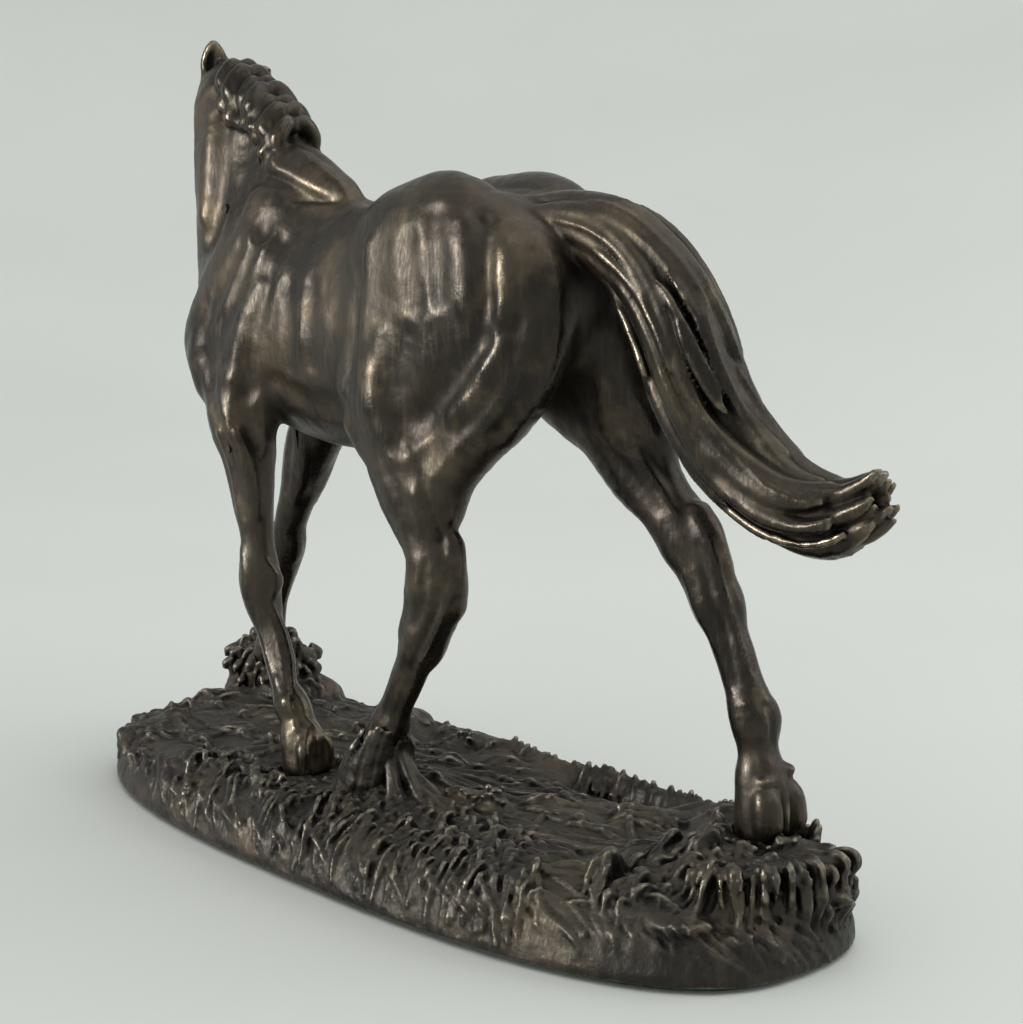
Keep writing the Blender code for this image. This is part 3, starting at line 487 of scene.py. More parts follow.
def add_head(clay):
    head = HeadFrame()
    skull = [(2, -3, 11, 8.5), (14, -2, 13, 9), (28, -2, 11.5, 8), (42, 0, 8.5, 6.5), (55, 0, 7, 6),
             (62, -0.5, 6, 5.5)]
    clay.limb([(*head.at(along, out), deep, wide) for along, out, deep, wide in skull], 6,
              side=tuple(head.side))
    for hand in (-1, 1):
        clay.ball(head.at(15, -6, 4.5 * hand), (8.5, 7, 10), 5)
        clay.limb([(*head.at(24, 3.5, 6.2 * hand), 2.2), (*head.at(34, 1.5, 6.2 * hand), 1.8),
                   (*head.at(44, 1, 5 * hand), 1.4)], 2.5)
        clay.ball(head.at(17, 4.2, 7.2 * hand), 3.6, 2, cut=True)
        clay.ball(head.at(17, 3.6, 6.4 * hand), 3.0, 1.2)
        clay.limb([(*head.at(11.5, 5.4, 7 * hand), 1.2), (*head.at(16, 8.2, 6.8 * hand), 1.6),
                   (*head.at(21.5, 6.2, 6.6 * hand), 1.2)], 1.6)
        clay.limb([(*head.at(57, 3.2, 5 * hand), 2.4), (*head.at(62, 2, 4.6 * hand), 2.6)], 2)
        clay.limb([(*head.at(58, 3.4, 6.6 * hand), 1.1), (*head.at(62.5, 1.6, 6.2 * hand), 1.5)], 1, cut=True)
        jaw = [(27, -10, 9), (22, -4, 9), (10, -12, 9)]
        lips = [(52, -3, 9), (60, -3.4, 9), (68, -3, 8)]
        cheek = [(36, -6, 9), (46, -4, 9)]
        for places, radius, height, blend in ((jaw, 2.4, -0.9, 2), (lips, 1.0, -1.1, 1), (cheek, 3, -0.7, 2)):
            path = [head.at(along, out, across * hand) for along, out, across in places]
            clay.stroke(path, radius, height, blend, head.side * hand)
    clay.ball(head.at(59, -6, 0), (3.6, 3.6, 3.2), 2.5)
    add_ears(clay, head)
    random = np.random.default_rng(SEEDS["forelock"])
    for i in range(9):
        across = (i - 4) * 1.1
        sway = random.uniform(-1.2, 1.2)
        clay.limb([(*head.at(-7, 5.5, across * 0.7), 1.6), (*head.at(0, 9.5, across + sway * 0.4), 1.9),
                   (*head.at(8, 11.6, across + sway), 1.7),
                   (*head.at(15 + 2 * sway, 10.8, across + 1.5 * sway), 0.7)], 0.8, step=2)


def add_ears(clay, head):
    """The left ear stands up and shows its hollow behind; the right one is laid back."""
    left_ear = (-5.5, (1.5, -1.0, 12.5), (0.72, -0.66, 0.1))
    right_ear = (5.5, (10.0, 2.0, 3.5), (0.2, 0.5, 0.85))
    for across, lean, opening in (left_ear, right_ear):
        root = head.at(-2, 4, across)
        lean, opening = np.array(lean), unit(opening)
        wide = unit(np.cross(lean, opening))
        leaf = [(-0.15, 3.2, 3.4), (0.2, 3.4, 4.3), (0.5, 3.0, 4.3), (0.78, 2.2, 3.0), (0.99, 0.9, 1.1)]
        clay.limb([(*(root + lean * up), thick, broad) for up, thick, broad in leaf], 2,
                  side=tuple(wide), step=1.5)
        hollow = [(0.18, 1.5, 1.9), (0.45, 2.0, 2.6), (0.7, 1.5, 1.8), (0.86, 0.6, 0.7)]
        clay.limb([(*(root + lean * up + opening * 2.6), deep, broad) for up, deep, broad in hollow], 0.8,
                  side=tuple(wide), step=1.5, cut=True)


def add_left_fore(clay):
    leg = [(-77, -19, 138, 13, 9), (-73, -22, 127, 12, 9.5), (-69.5, -22, 117, 10, 8.2),
           (-67.5, -22, 101.5, 7.2, 6.4), (-65.8, -22, 89, 5.6, 5.3), (-65, -22, 78, 7, 6.6),
           (-63.5, -22, 69.5, 6.2, 6), (-60, -22, 61, 4.9, 4.3), (-54.6, -23, 51.6, 4.5, 3.7),
           (-49, -24, 43.5, 4.9, 4.2), (-45.5, -24, 38.5, 6.2, 5.6), (-42.5, -24, 33, 5.2, 5.2),
           (-41, -24, 28, 6, 6.2)]
    clay.limb(leg, 5)
    clay.limb([(-41, -24, 29, 6, 6.4), (-39.5, -24, 22, 7.2, 7.4), (-38, -24, 13, 8, 8)], 2.5)
    clay.slice_off((-52, -40, 8), (-20, -8, 34), (-32.5, -24, 24), (0.96, 0, -0.2), 2)


def detail_left_fore(clay):
    rear_left = (0.62, -0.78, 0)
    for places, radius, height in (
            ([(-71, -31, 127), (-67, -29, 112), (-65, -27, 97)], 3, -0.74),
            ([(-76, -31, 124), (-73, -29, 112), (-70, -27, 99)], 2.8, -0.56),
            ([(-66, -31, 124), (-63, -29, 112), (-62, -27, 98)], 3, 0.56),
            ([(-67, -27, 86), (-64, -28, 79), (-65, -27, 72)], 3, 0.5),
            ([(-62, -27, 70), (-56, -26, 58), (-51, -26, 49)], 1.4, -0.62)):
        clay.stroke(places, radius, height, 1.4, LEFT)
    for places, radius, height in (
            ([(-60, -24, 83), (-58, -22, 77), (-59, -22, 71)], 2.8, 0.74),
            ([(-58, -23, 69), (-52.5, -23, 58), (-45, -24, 46)], 2.1, 0.56),
            ([(-59.5, -26, 68), (-53, -26, 57), (-47.5, -27, 46)], 1, -0.68),
            ([(-43, -20, 43), (-40, -20, 39)], 2.5, 0.68), ([(-44, -28, 42), (-41, -28, 38)], 2.5, 0.68),
            ([(-43, -24, 42), (-40, -24, 36)], 1.3, -0.81),
            ([(-40, -27, 35), (-37, -28, 31)], 1.7, 0.56), ([(-40, -21, 35), (-37, -20, 31)], 1.7, 0.56)):
        clay.stroke(places, radius, height, 1.0, rear_left)
    for across in (-4.6, 4.6):
        clay.limb([(-36, -24 + across * 0.3, 31.5, 1.8), (-34, -24 + across, 27.5, 1.9),
                   (-33.4, -24 + across * 1.1, 21, 1.9)], 1.6)
    clay.ball((-30.6, -24, 24), (2.6, 3.4, 4.8), 1.2, cut=True)
    clay.limb([(-34, -24, 30, 1.3), (-33.8, -24, 25, 1.0)], 1.0)


def add_right_fore(clay):
    leg = [(-80, 18, 138, 13, 9), (-86, 19, 122, 11.5, 9), (-92, 19, 111, 9.6, 8), (-99, 20, 98, 7.4, 6.6),
           (-105, 20, 85, 5.9, 5.5), (-109, 21, 76, 6.8, 6.5), (-112.5, 21, 67, 6, 5.8),
           (-116, 21, 56, 4.6, 4.2), (-119, 22, 45, 4.6, 4), (-121.5, 22, 37, 6, 5.4),
           (-125, 22, 30, 5.2, 5), (-127, 22, 26, 6, 6)]
    clay.limb(leg, 5)
    clay.limb([(-126.5, 22, 28, 6, 6.3), (-129, 22, 21, 7.6, 7.6), (-131, 22, 13, 9, 8.5)], 2.5)


def detail_right_fore(clay):
    for side, facing in ((-1, LEFT), (1, RIGHT)):
        for places, radius, height in (
                ([(-90, 20, 120), (-94, 20, 108), (-99, 20, 96)], 2.8, -0.62),
                ([(-84, 20, 118), (-90, 20, 104), (-97, 20, 93)], 2.8, 0.5),
                ([(-111, 20, 82), (-110, 20, 76), (-113, 20, 70)], 2.8, 0.5),
                ([(-109, 20, 68), (-113, 20, 56), (-116.5, 20, 44)], 1.3, -0.62),
                ([(-117, 20, 39), (-119, 20, 35)], 2.3, 0.56)):
            clay.stroke(places, radius, height, 1.2, facing)
    for places, radius, height in (([(-102, 20, 80), (-102.5, 20.5, 76), (-106, 21, 71)], 2.8, 0.74),
                                   ([(-107, 21, 67), (-111, 21, 56), (-113.5, 21.5, 45)], 2, 0.56),
                                   ([(-114, 21.5, 41), (-115, 22, 36)], 2.5, 0.62)):
        clay.stroke(places, radius, height, 1.2, BACK)


HIND_BLENDS = (9, 7, 8, 5, 4, 5)        # how softly each mass of a hind leg runs into the rest


def add_left_hind(clay):
    thigh = [(22, -15, 182, 24, 13), (20, -17, 166, 31, 14.5), (12, -19, 152, 26, 14), (2, -21, 141, 17, 12)]
    hamstring = [(50, -11, 176, 15, 11), (51, -13, 160, 14, 12), (46, -16, 146, 13, 11.5),
                 (37, -19, 134, 11, 10), (29, -21, 123, 9, 8.5), (26, -22, 113, 7, 6.5)]
    gaskin = [(-2, -21, 141, 13, 11), (8, -22, 131, 15.5, 11.5), (14.5, -23, 120, 14, 10),
              (18.5, -23, 108, 10.4, 8), (22, -23, 98, 7.6, 6.8), (23.5, -23, 90, 8, 7)]
    hock = [(24, -22, 93, 7.5, 6.8), (23, -22, 84, 9, 7.2), (20.5, -22, 77, 8, 6.8), (17, -22, 70, 6.6, 5.8)]
    point_of_hock = [(31, -22, 100, 3, 3), (31, -22, 91, 4, 3.6), (30, -22, 83, 4, 4)]
    cannon = [(17, -22, 70, 6.4, 5.4), (11, -22, 60, 5.8, 4.8), (5, -22, 49, 5.6, 4.6),
              (1, -22, 41, 6.6, 5.6), (-3, -22, 34, 5.8, 5.4), (-7, -22, 27, 7.5, 7)]
    for mass, blend in zip((thigh, hamstring, gaskin, hock, point_of_hock, cannon), HIND_BLENDS):
        clay.limb(mass, blend)
    clay.limb([(-6, -22, 30, 7, 7), (-8.5, -22, 22, 8, 7.8), (-11, -22, 12, 9.3, 8.8)], 2.5)


def detail_left_hind(clay):
    rear_left = (0.6, -0.8, 0)
    for places, radius, height, facing in (
            ([(25, -29, 122), (28, -28, 110), (31, -26, 100)], 2.3, -0.62, rear_left),
            ([(12, -33, 128), (18, -32, 116), (22, -30, 104)], 3.4, -0.68, LEFT),
            ([(20, -33, 130), (24, -31, 117), (27, -28, 104)], 3.4, 0.56, LEFT),
            ([(4, -33, 120), (10, -33, 108), (16, -30, 97)], 2.8, 0.43, LEFT),
            ([(33, -24, 110), (33.5, -22, 101), (34.5, -22, 92)], 2.3, 0.43, BACK),
            ([(28, -28, 96), (27, -28, 86), (21, -28, 76)], 2.1, -0.68, LEFT),
            ([(33, -24, 90), (28, -25, 78), (20, -25, 66)], 1.8, 0.56, rear_left),
            ([(30, -27, 84), (23, -27, 72), (14, -26, 58), (8, -26, 46)], 1.3, -0.74, rear_left),
            ([(18, -28, 86), (15, -28, 78), (13, -28, 72)], 2.5, 0.5, LEFT),
            ([(18, -28, 68), (9, -27, 54), (2, -27, 42)], 1.1, -0.5, LEFT),
            ([(7, -24, 45), (5, -24, 38)], 2.8, 0.68, rear_left)):
        clay.stroke(places, radius, height, 1.4, facing)


def add_right_hind(clay):
    thigh = [(28, 15, 182, 22, 13), (32, 17, 167, 27, 14.5), (37, 18, 155, 22, 14), (43, 18.5, 146, 16, 12)]
    hamstring = [(50, 11, 176, 15, 11), (57, 13, 160, 14, 12), (63, 15, 147, 13, 12), (68, 16, 136, 11, 10)]
    gaskin = [(43, 18.5, 146, 15, 12), (55, 18.5, 135, 13, 11.5), (67, 18, 122, 11, 9.5),
              (77, 18.5, 113, 8.6, 8), (83, 19, 106, 7.8, 7)]
    hock = [(81, 19, 109, 7, 6.5), (86, 19, 102, 8, 7), (91, 19.5, 95, 7.6, 6.8), (95, 20, 88, 6.6, 6)]
    point_of_hock = [(89, 19, 113, 3, 3), (93, 19, 107, 4, 3.8), (95, 19.5, 99, 4, 3.8)]
    cannon = [(95, 20, 88, 6.4, 5.8), (100.5, 20, 77, 5.8, 5.4), (105, 20, 67, 5.6, 5.4),
              (108.5, 20, 59, 6.8, 6.8), (110.5, 20, 51, 5.6, 5.8), (112.2, 20, 42, 6, 6.4)]
    for mass, blend in zip((thigh, hamstring, gaskin, hock, point_of_hock, cannon), HIND_BLENDS):
        clay.limb(mass, blend)
    hoof = [(112.6, 20, 42, 6.6, 7), (113.4, 20, 37, 8, 8.2), (114, 20, 30, 8.6, 8.8), (115, 20, 20, 9, 9)]
    clay.limb(hoof, 3)
    clay.slice_off((98, 2, 14), (134, 38, 46), (121.5, 20, 34), (1, 0, -0.1), 2)


def detail_right_hind(clay):
    inner = (0.55, -0.83, 0)
    for places, radius, height, facing in (
            ([(66, 6, 150), (74, 8, 138), (80, 10, 126), (85, 12, 117)], 3, -0.68, inner),
            ([(60, 6, 132), (70, 8, 124), (80, 11, 114)], 3, -0.56, LEFT),
            ([(72, 6, 132), (79, 8, 122), (86, 12, 112)], 2.8, 0.5, inner),
            ([(91, 14, 112), (95, 15, 104), (98, 16, 95)], 2.8, 0.56, inner),
            ([(93, 13, 105), (97, 14, 94), (103, 15, 80), (107, 16, 68)], 1.5, -0.81, LEFT),
            ([(96, 15, 106), (101, 16, 93), (106, 17, 79), (110.5, 17, 66)], 1.7, 0.62, inner),
            ([(99, 18, 100), (104.5, 19, 86), (109, 19.5, 72)], 1.3, -0.68, (0.85, -0.5, 0)),
            ([(88, 13, 100), (92, 14, 90), (98, 15, 78)], 2.1, 0.43, LEFT),
            ([(111, 15, 63), (114.5, 16, 58), (114, 16, 53)], 2.5, 0.74, inner),
            ([(114, 24, 62), (116, 24, 57), (115, 24, 53)], 2.5, 0.62, BACK),
            ([(115, 20, 62), (116, 20, 52)], 1.4, -0.62, BACK),
            ([(114, 17, 50), (117, 17, 45)], 1.8, 0.56, inner)):
        clay.stroke(places, radius, height, 1.3, facing)
    for across, tall, plump in ((-5.0, 0, 4.2), (4.8, 0.8, 3.8)):
        clay.limb([(116.5, 20 + across * 0.8, 40 + tall, plump * 0.7),
                   (118.8, 20 + across, 36.5 + tall, plump),
                   (119.8, 20 + across * 1.1, 31, plump)], 1.2, step=1.5)
    clay.ball((116.5, 25, 44), (3.0, 3.0, 2.2), 0.8)
    clay.ball((117.5, 16, 42.6), (2.6, 3.0, 1.8), 0.8)
    clay.limb([(122.5, 20, 43, 1.6), (122.8, 20, 37, 2.4), (122.8, 20, 27, 2.8)], 0.8, step=1.5, cut=True)
    clay.limb([(119.5, 20.2, 41, 1.2), (120.8, 20.2, 36, 1.5), (121.0, 20.2, 29, 1.2)], 0.5, step=1.5)


HIND_RELIEF, FORE_RELIEF = 0.65, 0.28   # how deep the lists' strokes are cut into each half
HALF_WAY = -10                          # where the hind half begins


def detail_body(clay):
    """Muscle, rib and sinew, on both sides."""
    for side, back in ((-1, 0), (1, 4)):
        facing = (0, side, 0)
        for places, radius, height in (
                ([(-4, 30, 190), (-5, 30, 176), (-5, 30, 162), (-4, 32, 150), (-2, 34, 139), (2, 34, 129)],
                 5.5, -1),
                ([(4, 30, 184), (5, 30, 170), (5, 31, 154), (6, 33, 140)], 5.9, 0.21),
                ([(30, 30, 195), (33, 30, 184), (35, 30, 172)], 3.9, -0.45),
                ([(22, 30, 188), (25, 30, 179), (27, 30, 170)], 5.9, -0.35),
                ([(44, 28, 194), (48, 28, 183), (50, 28, 172), (49, 28, 164)], 3.4, -0.75),
                ([(38, 28, 192), (41, 28, 182), (43, 28, 170)], 4.2, 0.24),
                ([(52, 26, 186), (54, 26, 176), (55, 26, 168)], 3.1, 0.24),
                ([(60, 24, 166), (55, 27, 152), (45, 30, 140), (33, 30, 130), (25, 30, 121)], 4.7, -0.85),
                ([(49, 28, 160), (38, 30, 147), (27, 31, 138), (19, 32, 129)], 5.2, -0.4),
                ([(55, 26, 160), (48, 28, 149), (38, 30, 139)], 3.4, 0.24),
                ([(12, 34, 160), (9, 34, 147), (11, 34, 135), (16, 33, 126)], 5.2, 0.24),
                ([(24, 31, 160), (20, 33, 148), (20, 33, 138)], 6.5, -0.4),
                ([(-64, 22, 187), (-69, 26, 171), (-78, 28, 154), (-83, 28, 140)], 4.2, -0.85),
                ([(-56, 20, 184), (-58, 25, 169), (-62, 28, 153), (-62, 28, 138)], 4.7, -0.75),
                ([(-73, 22, 182), (-82, 24, 168), (-90, 26, 155)], 3.9, -0.6),
                ([(-60, 24, 170), (-66, 27, 154), (-70, 30, 141)], 3.9, 0.27),
                ([(-88, 26, 158), (-94, 26, 146), (-92, 26, 136)], 4.4, 0.24),
                ([(-86, 28, 146), (-80, 30, 136), (-74, 30, 128)], 3.4, -0.55),
                ([(-64, 28, 136), (-61, 25, 127), (-60, 20, 120)], 3.9, -0.9),
                ([(-33, 24, 172), (-30, 27, 159), (-31, 27, 148)], 5.0, -0.12),
                ([(-46, 24, 172), (-43, 27, 159), (-44, 27, 146)], 5.0, -0.12),
                ([(-55, 24, 140), (-38, 27, 134), (-20, 28, 134), (-8, 30, 138)], 5.2, -0.35)):
            shift, relief = (back, HIND_RELIEF) if places[0][0] > HALF_WAY else (0, FORE_RELIEF)
            path = [(x + shift, side * y, z) for x, y, z in places]
            clay.stroke(path, radius, height * relief, 4, facing)
        clay.ball((-64, side * 19.5, 188), (3.6, 2.6, 4.4), 2.5, cut=True)
        behind = (0.7, side * 0.7, 0)
        clay.stroke([(64, side * 18, 176), (64, side * 17, 160), (60, side * 20, 146), (52, side * 24, 134)],
                    3.4, -0.6, 4, behind)
        for neck_line, height in (([(-100, 14, 222), (-97, 14, 209), (-96, 14, 196), (-100, 15, 184)], -0.6),
                                  ([(-108, 12, 222), (-106, 14, 206), (-106, 14, 190)], 0.2),
                                  ([(-90, 12, 214), (-86, 14, 200), (-84, 14, 189)], -0.3)):
            clay.stroke([(x, side * y, z) for x, y, z in neck_line], 5.0, height, 5, facing)
    clay.stroke([(-38, 0, 200), (-12, 0, 202), (14, 0, 204), (34, 0, 202)], 4.0, -0.8, 5, UP)


# ---- mane and tail ----------------------------------------------------------------------

CREST = [(-108, 2, 236), (-97, 2, 230), (-85, 1.5, 223), (-73, 1, 215)]


def add_mane(clay):
    """Thick curls over the crest, and one long lock that runs down to the withers."""
    random = np.random.default_rng(SEEDS["mane"])
    crest = smooth_path(CREST, 0.5)
    count = 7
    for i in range(count):
        middle = crest[int((i + 0.5) / count * (len(crest) - 1))]
        plump = (1.0, 1.25, 0.95, 1.3, 1.0, 1.3, 0.95)[i]
        sweep = random.uniform(1.0, 5.0)
        drop = random.uniform(0.8, 1.2)
        for ahead, thick, tuck in ((-2.0, 1.0, 0.0), (1.4, 1.15, 1.2)):
            wave = random.uniform(-1.3, 1.3)
            for side in (-1, 1):
                hang = [(ahead, 0.3, 0.6 + tuck, 2.6), (ahead + 0.8, 3.6, 2.2 + tuck, 3.1),
                        (ahead + sweep * 0.4 + wave, 6.8 + tuck, -1.4, 3.2),
                        (ahead + sweep * 0.8 - wave, 6.6 + tuck, -5.6 * drop, 2.7),
                        (ahead + sweep + wave, 9.0 + tuck, -8.6 * drop, 2.5),
                        (ahead + sweep + 3.4, 9.9, -10.4 * drop, 1.0)]
                rows = [(*(middle + (x, side * y * 0.82, z)), radius * plump * thick * 0.84)
                        for x, y, z, radius in hang]
                clay.limb(rows, 0.5, step=1.6)
    for i in range(6):
        lift = i * 1.2
        for side in (-1, 1):
            start = (-79 + i * 0.8, side * (7.8 - i * 0.9), 206.4 + lift)
            rows = [(*start, 1.4), (-69 + i * 0.7, side * (7.6 - i * 1.05), 205.6 + lift * 0.75, 2.1),
                    (-58 + i * 0.6, side * (6.0 - i * 0.85), 201.6 + lift * 0.6, 2.1),
                    (-48 + i * 0.5, side * (4.0 - i * 0.5), 197.8 + lift * 0.45, 1.8),
                    (-40, side * 1.2, 194.8, 0.9)]
            clay.limb(rows, 1.6, step=2)


TAIL = [(34, 0, 188, 9, 8), (46, 0, 191, 9, 8.5), (60, 0, 191.5, 9.5, 9), (75, 1, 187.5, 11.5, 10),
        (87, 2, 178, 13, 11), (95, 3, 166, 13.5, 12), (101, 4, 152, 13.5, 12.5), (108, 6, 139, 13, 12),
        (118, 8, 129, 12, 12), (130, 9, 122, 11, 11.5), (141, 10, 120, 10.5, 10.5),
        (149, 11, 122, 9, 9), (154, 11, 125, 7, 8)]
TAIL_LOCKS, TAIL_STRANDS, TAIL_ENDS = 13, 44, 15


def tail_frames():
    """The tail's middle line, its two radii, and its upward and sideways directions."""
    path = smooth_path(TAIL, 2.0)
    along = np.gradient(path[:, :3], axis=0)
    along /= np.linalg.norm(along, axis=1)[:, None]
    sideways = np.array((0, 1.0, 0)) - along * along[:, 1:2]
    sideways /= np.linalg.norm(sideways, axis=1)[:, None]
    return path, sideways, np.cross(along, sideways)


def add_tail(clay):
    """A core, and locks that wind along it with deep gaps between them."""
    clay.limb([(x, y, z, deep - 3.0, wide - 3.0) for x, y, z, deep, wide in TAIL[:-2]], 7)
    path, sideways, upward = tail_frames()
    random = np.random.default_rng(SEEDS["tail"])
    count = len(path)
    for number in range(TAIL_LOCKS):
        turn = 2 * math.pi * (number + random.uniform(-0.22, 0.22)) / TAIL_LOCKS
        thick = random.uniform(2.6, 4.4)
        first = int(count * random.uniform(0.04, 0.16))
        last = count - 1 - int(count * random.uniform(0, 0.09))
        wobble, phase = random.uniform(0.1, 0.28), random.uniform(0, 6.28)
        rows = []
        for i in range(first, last, 2):
            share = i / (count - 1)
            angle = turn + 0.9 * share + wobble * math.sin(phase + 7 * share)
            radius = thick * min(1, 0.45 + 4.5 * (i - first) / count, 0.4 + 4 * (last - i) / count)
            stand = 1 - (radius - 0.4) / path[i, 3:]
            offset = upward[i] * math.cos(angle) * path[i, 3] * stand[0]
            offset = offset + sideways[i] * math.sin(angle) * path[i, 4] * stand[1]
            rows.append((*(path[i, :3] + offset), radius))
        if len(rows) > 2:
            clay.limb(rows, 1.1, step=FAR)
    for number in range(TAIL_STRANDS):
        turn = random.uniform(0, 2 * math.pi)
        first = int(count * random.uniform(0.1, 0.7))
        last = min(count - 2, first + int(count * random.uniform(0.18, 0.4)))
        thin = random.uniform(1.0, 1.6)
        rows = []
        for i in range(first, last, 2):
            share = i / (count - 1)
            angle = turn + 1.0 * share + 0.12 * math.sin(9 * share + number)
            stand = path[i, 3:] - 0.3
            offset = upward[i] * math.cos(angle) * stand[0] + sideways[i] * math.sin(angle) * stand[1]
            ends = min(1, 0.3 + 0.25 * (i - first), 0.3 + 0.25 * (last - i))
            rows.append((*(path[i, :3] + offset), thin * ends))
        if len(rows) > 2:
            clay.limb(rows, 0.7, step=FAR)


def add_tail_tip(clay):
    """The ragged ends of the locks, which fan out and turn up."""
    random = np.random.default_rng(SEEDS["tail_tip"])
    for number in range(TAIL_ENDS):
        angle = 2 * math.pi * number / TAIL_ENDS
        out = 6.6 if number % 2 else 4.0
        offset = np.array((-0.3 * out * math.cos(angle), 0.85 * out * math.sin(angle), out * math.cos(angle)))
        stretch = random.uniform(0.4, 5.0)
        rows = [(*(np.array((139, 10, 120.5)) + offset), 2.0), (*(np.array((148, 11, 121.8)) + offset), 2.5),
                (*(np.array((153 + stretch * 0.5, 11.5, 124 + stretch * 0.3)) + offset), 2.0),
                (*(np.array((155 + stretch, 12, 125.5 + stretch * 0.7)) + offset * 1.05), 1.0)]
        clay.limb(rows, 0.6, step=1.6)


def model_horse():
    clay = Clay((-176, -60, -2), (174, 64, 258), HORSE_CELL)
    add_trunk(clay)
    for side, reach in ((-1, 0), (1, 3)):
        add_shoulder(clay, side, reach)
    add_neck(clay)
    for add_part in (add_left_hind, add_right_hind, add_left_fore, add_right_fore):
        add_part(clay)
    detail_body(clay)
    for add_part in (add_tail, add_tail_tip, add_head, add_mane, detail_left_hind, detail_right_hind,
                     detail_left_fore, detail_right_fore):
        add_part(clay)
    trim_soles(clay, HOOF_GAP / 2)
    return clay


def trim_soles(clay, gap):
    """Cut every hoof flat, a gap above its ground."""
    for x, y, ground in HOOVES.values():
        clay.slice_off((x - HOOF_REACH, y - HOOF_REACH, -3), (x + HOOF_REACH, y + HOOF_REACH, ground + 4),
                       (x, y, ground + gap), (0, 0, -1), TRIM_BLEND)


# ---- cutting the horse at its seams -----------------------------------------------------

def seam_offsets(places, name):
    """Places measured along a seam's across, sideways and outward directions."""
    point, direction, _ = SEAMS[name]
    out = unit(direction)
    across = np.cross((0, 1, 0), out)
    offset = np.asarray(places) - point
    return offset @ across, offset[..., 1], offset @ out


def in_block(places, name, low):
    found = np.ones(len(places), bool)
    for value, (least, most) in zip(seam_offsets(places, name), SEAMS[name][2]):
        least = low if least == 0 else least
        found &= (value > least) & (value < most)
    return found


def cut_at_seams(horse):
    """One mesh for each section, cut from the whole skin and capped at its seams."""
    whole = bmesh.new()
    whole.from_mesh(horse)
    for name, (point, direction, _) in SEAMS.items():
        whole.faces.ensure_lookup_table()
        centres = np.array([face.calc_center_median() for face in whole.faces]) / MM
        level = seam_offsets(centres, name)[2]
        near = np.flatnonzero(in_block(centres, name, -SEAM_REACH) & (level < SEAM_REACH))
        faces = [whole.faces[i] for i in near]
        geometry = set(faces)
        for face in faces:
            geometry.update(face.edges)
            geometry.update(face.verts)
        bmesh.ops.bisect_plane(whole, geom=list(geometry), dist=SAME_PLACE,
                               plane_co=Vector(point) * MM, plane_no=Vector(direction))
    whole.faces.ensure_lookup_table()
    centres = np.array([face.calc_center_median() for face in whole.faces]) / MM
    section = np.zeros(len(centres), int)
    for number, name in enumerate(SEAMS, 1):
        section[in_block(centres, name, 0.0)] = number
    meshes = {}
    for number, name in enumerate(["torso", *SEAMS]):
        part = whole.copy()
        part.faces.ensure_lookup_table()
        others = [part.faces[i] for i in np.flatnonzero(section != number)]
        bmesh.ops.delete(part, geom=others, context="FACES")
        rims = [edge for edge in part.edges if edge.is_boundary]
        for edge in rims:
            edge.smooth = False
        bmesh.ops.triangle_fill(part, edges=rims, use_beauty=True)
        bmesh.ops.recalc_face_normals(part, faces=part.faces)
        mesh = bpy.data.meshes.new(PIECES[name][0])
        part.to_mesh(mesh)
        part.free()
        meshes[name] = mesh
    whole.free()
    return meshes


def add_piece(name, mesh, material, node):
    piece = bpy.data.objects.new(name, mesh)
    bpy.context.scene.collection.objects.link(piece)
    mesh.materials.append(material)
    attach(piece, "root")
    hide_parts(node)


def patina_and_shade_values(surface, reaches):
    """What the patina and its painted shade need to know at each vertex, from 0 to 1."""
    fine, broad = surface.raised(FINE_ROUNDS), surface.raised(BROAD_ROUNDS)
    return {
        "raised": np.clip(0.5 + fine * RAISED_GAIN, 0, 1),
        "proud": np.clip(0.5 + broad * PROUD_GAIN, 0, 1),
        "shut_in": np.clip(surface.shut_in(reaches), 0, 1),
    }


def build_horse(material):
    clay = model_horse()
    surface = Skin(clay)
    surface.keep_largest()
    surface.relax(2)
    normals = surface.normals()
    lumps = sum(height * ripple(surface.points, size, seed) for height, size, seed in HORSE_LUMPS)
    surface.points = surface.points + normals * lumps[:, None]
    horse = surface.mesh("horse", patina_and_shade_values(surface, HORSE_CREVICES))
    for name, mesh in cut_at_seams(horse).items():
        piece_name, node = PIECES[name]
        add_piece(piece_name, mesh, material, node)


# ---- the turf base ----------------------------------------------------------------------

def mound(clay, floor):
    """The base's plain shape, before the grass."""
    half_x, half_y = (BASE_HIGH - BASE_LOW)[:2] / 2
    x, y, z = clay.grid((slice(None),) * 3)
    power = BASE_SQUARENESS
    ring = np.maximum(((abs(x) / half_x) ** power + (abs(y) / half_y) ** power) ** (1 / power), 0.3)
    steep = ring ** (1 - power) * np.hypot(abs(x) ** (power - 1) / half_x ** power,
                                           abs(y) ** (power - 1) / half_y ** power)
    side = (ring - 1) / (steep + 0.002) + TAPER * np.clip(z - 4, 0, 30)
    rise = TURF_LEVEL
    for height, middle_x, wide_x, middle_y, wide_y in RISES:
        rise = rise + height * np.exp(-((x - middle_x) / wide_x) ** 2 - ((y - middle_y) / wide_y) ** 2)
    rise = rise + 0.8 * np.sin(x / 17.0) * np.cos(y / 13.0)
    top = (z - rise) * 0.9
    near = np.maximum(SHOULDER_BLEND - abs(side - top), 0)
    clay.field[:] = np.maximum(side, top) + near * near / (4 * SHOULDER_BLEND)
    np.maximum(clay.field, floor - z, out=clay.field)


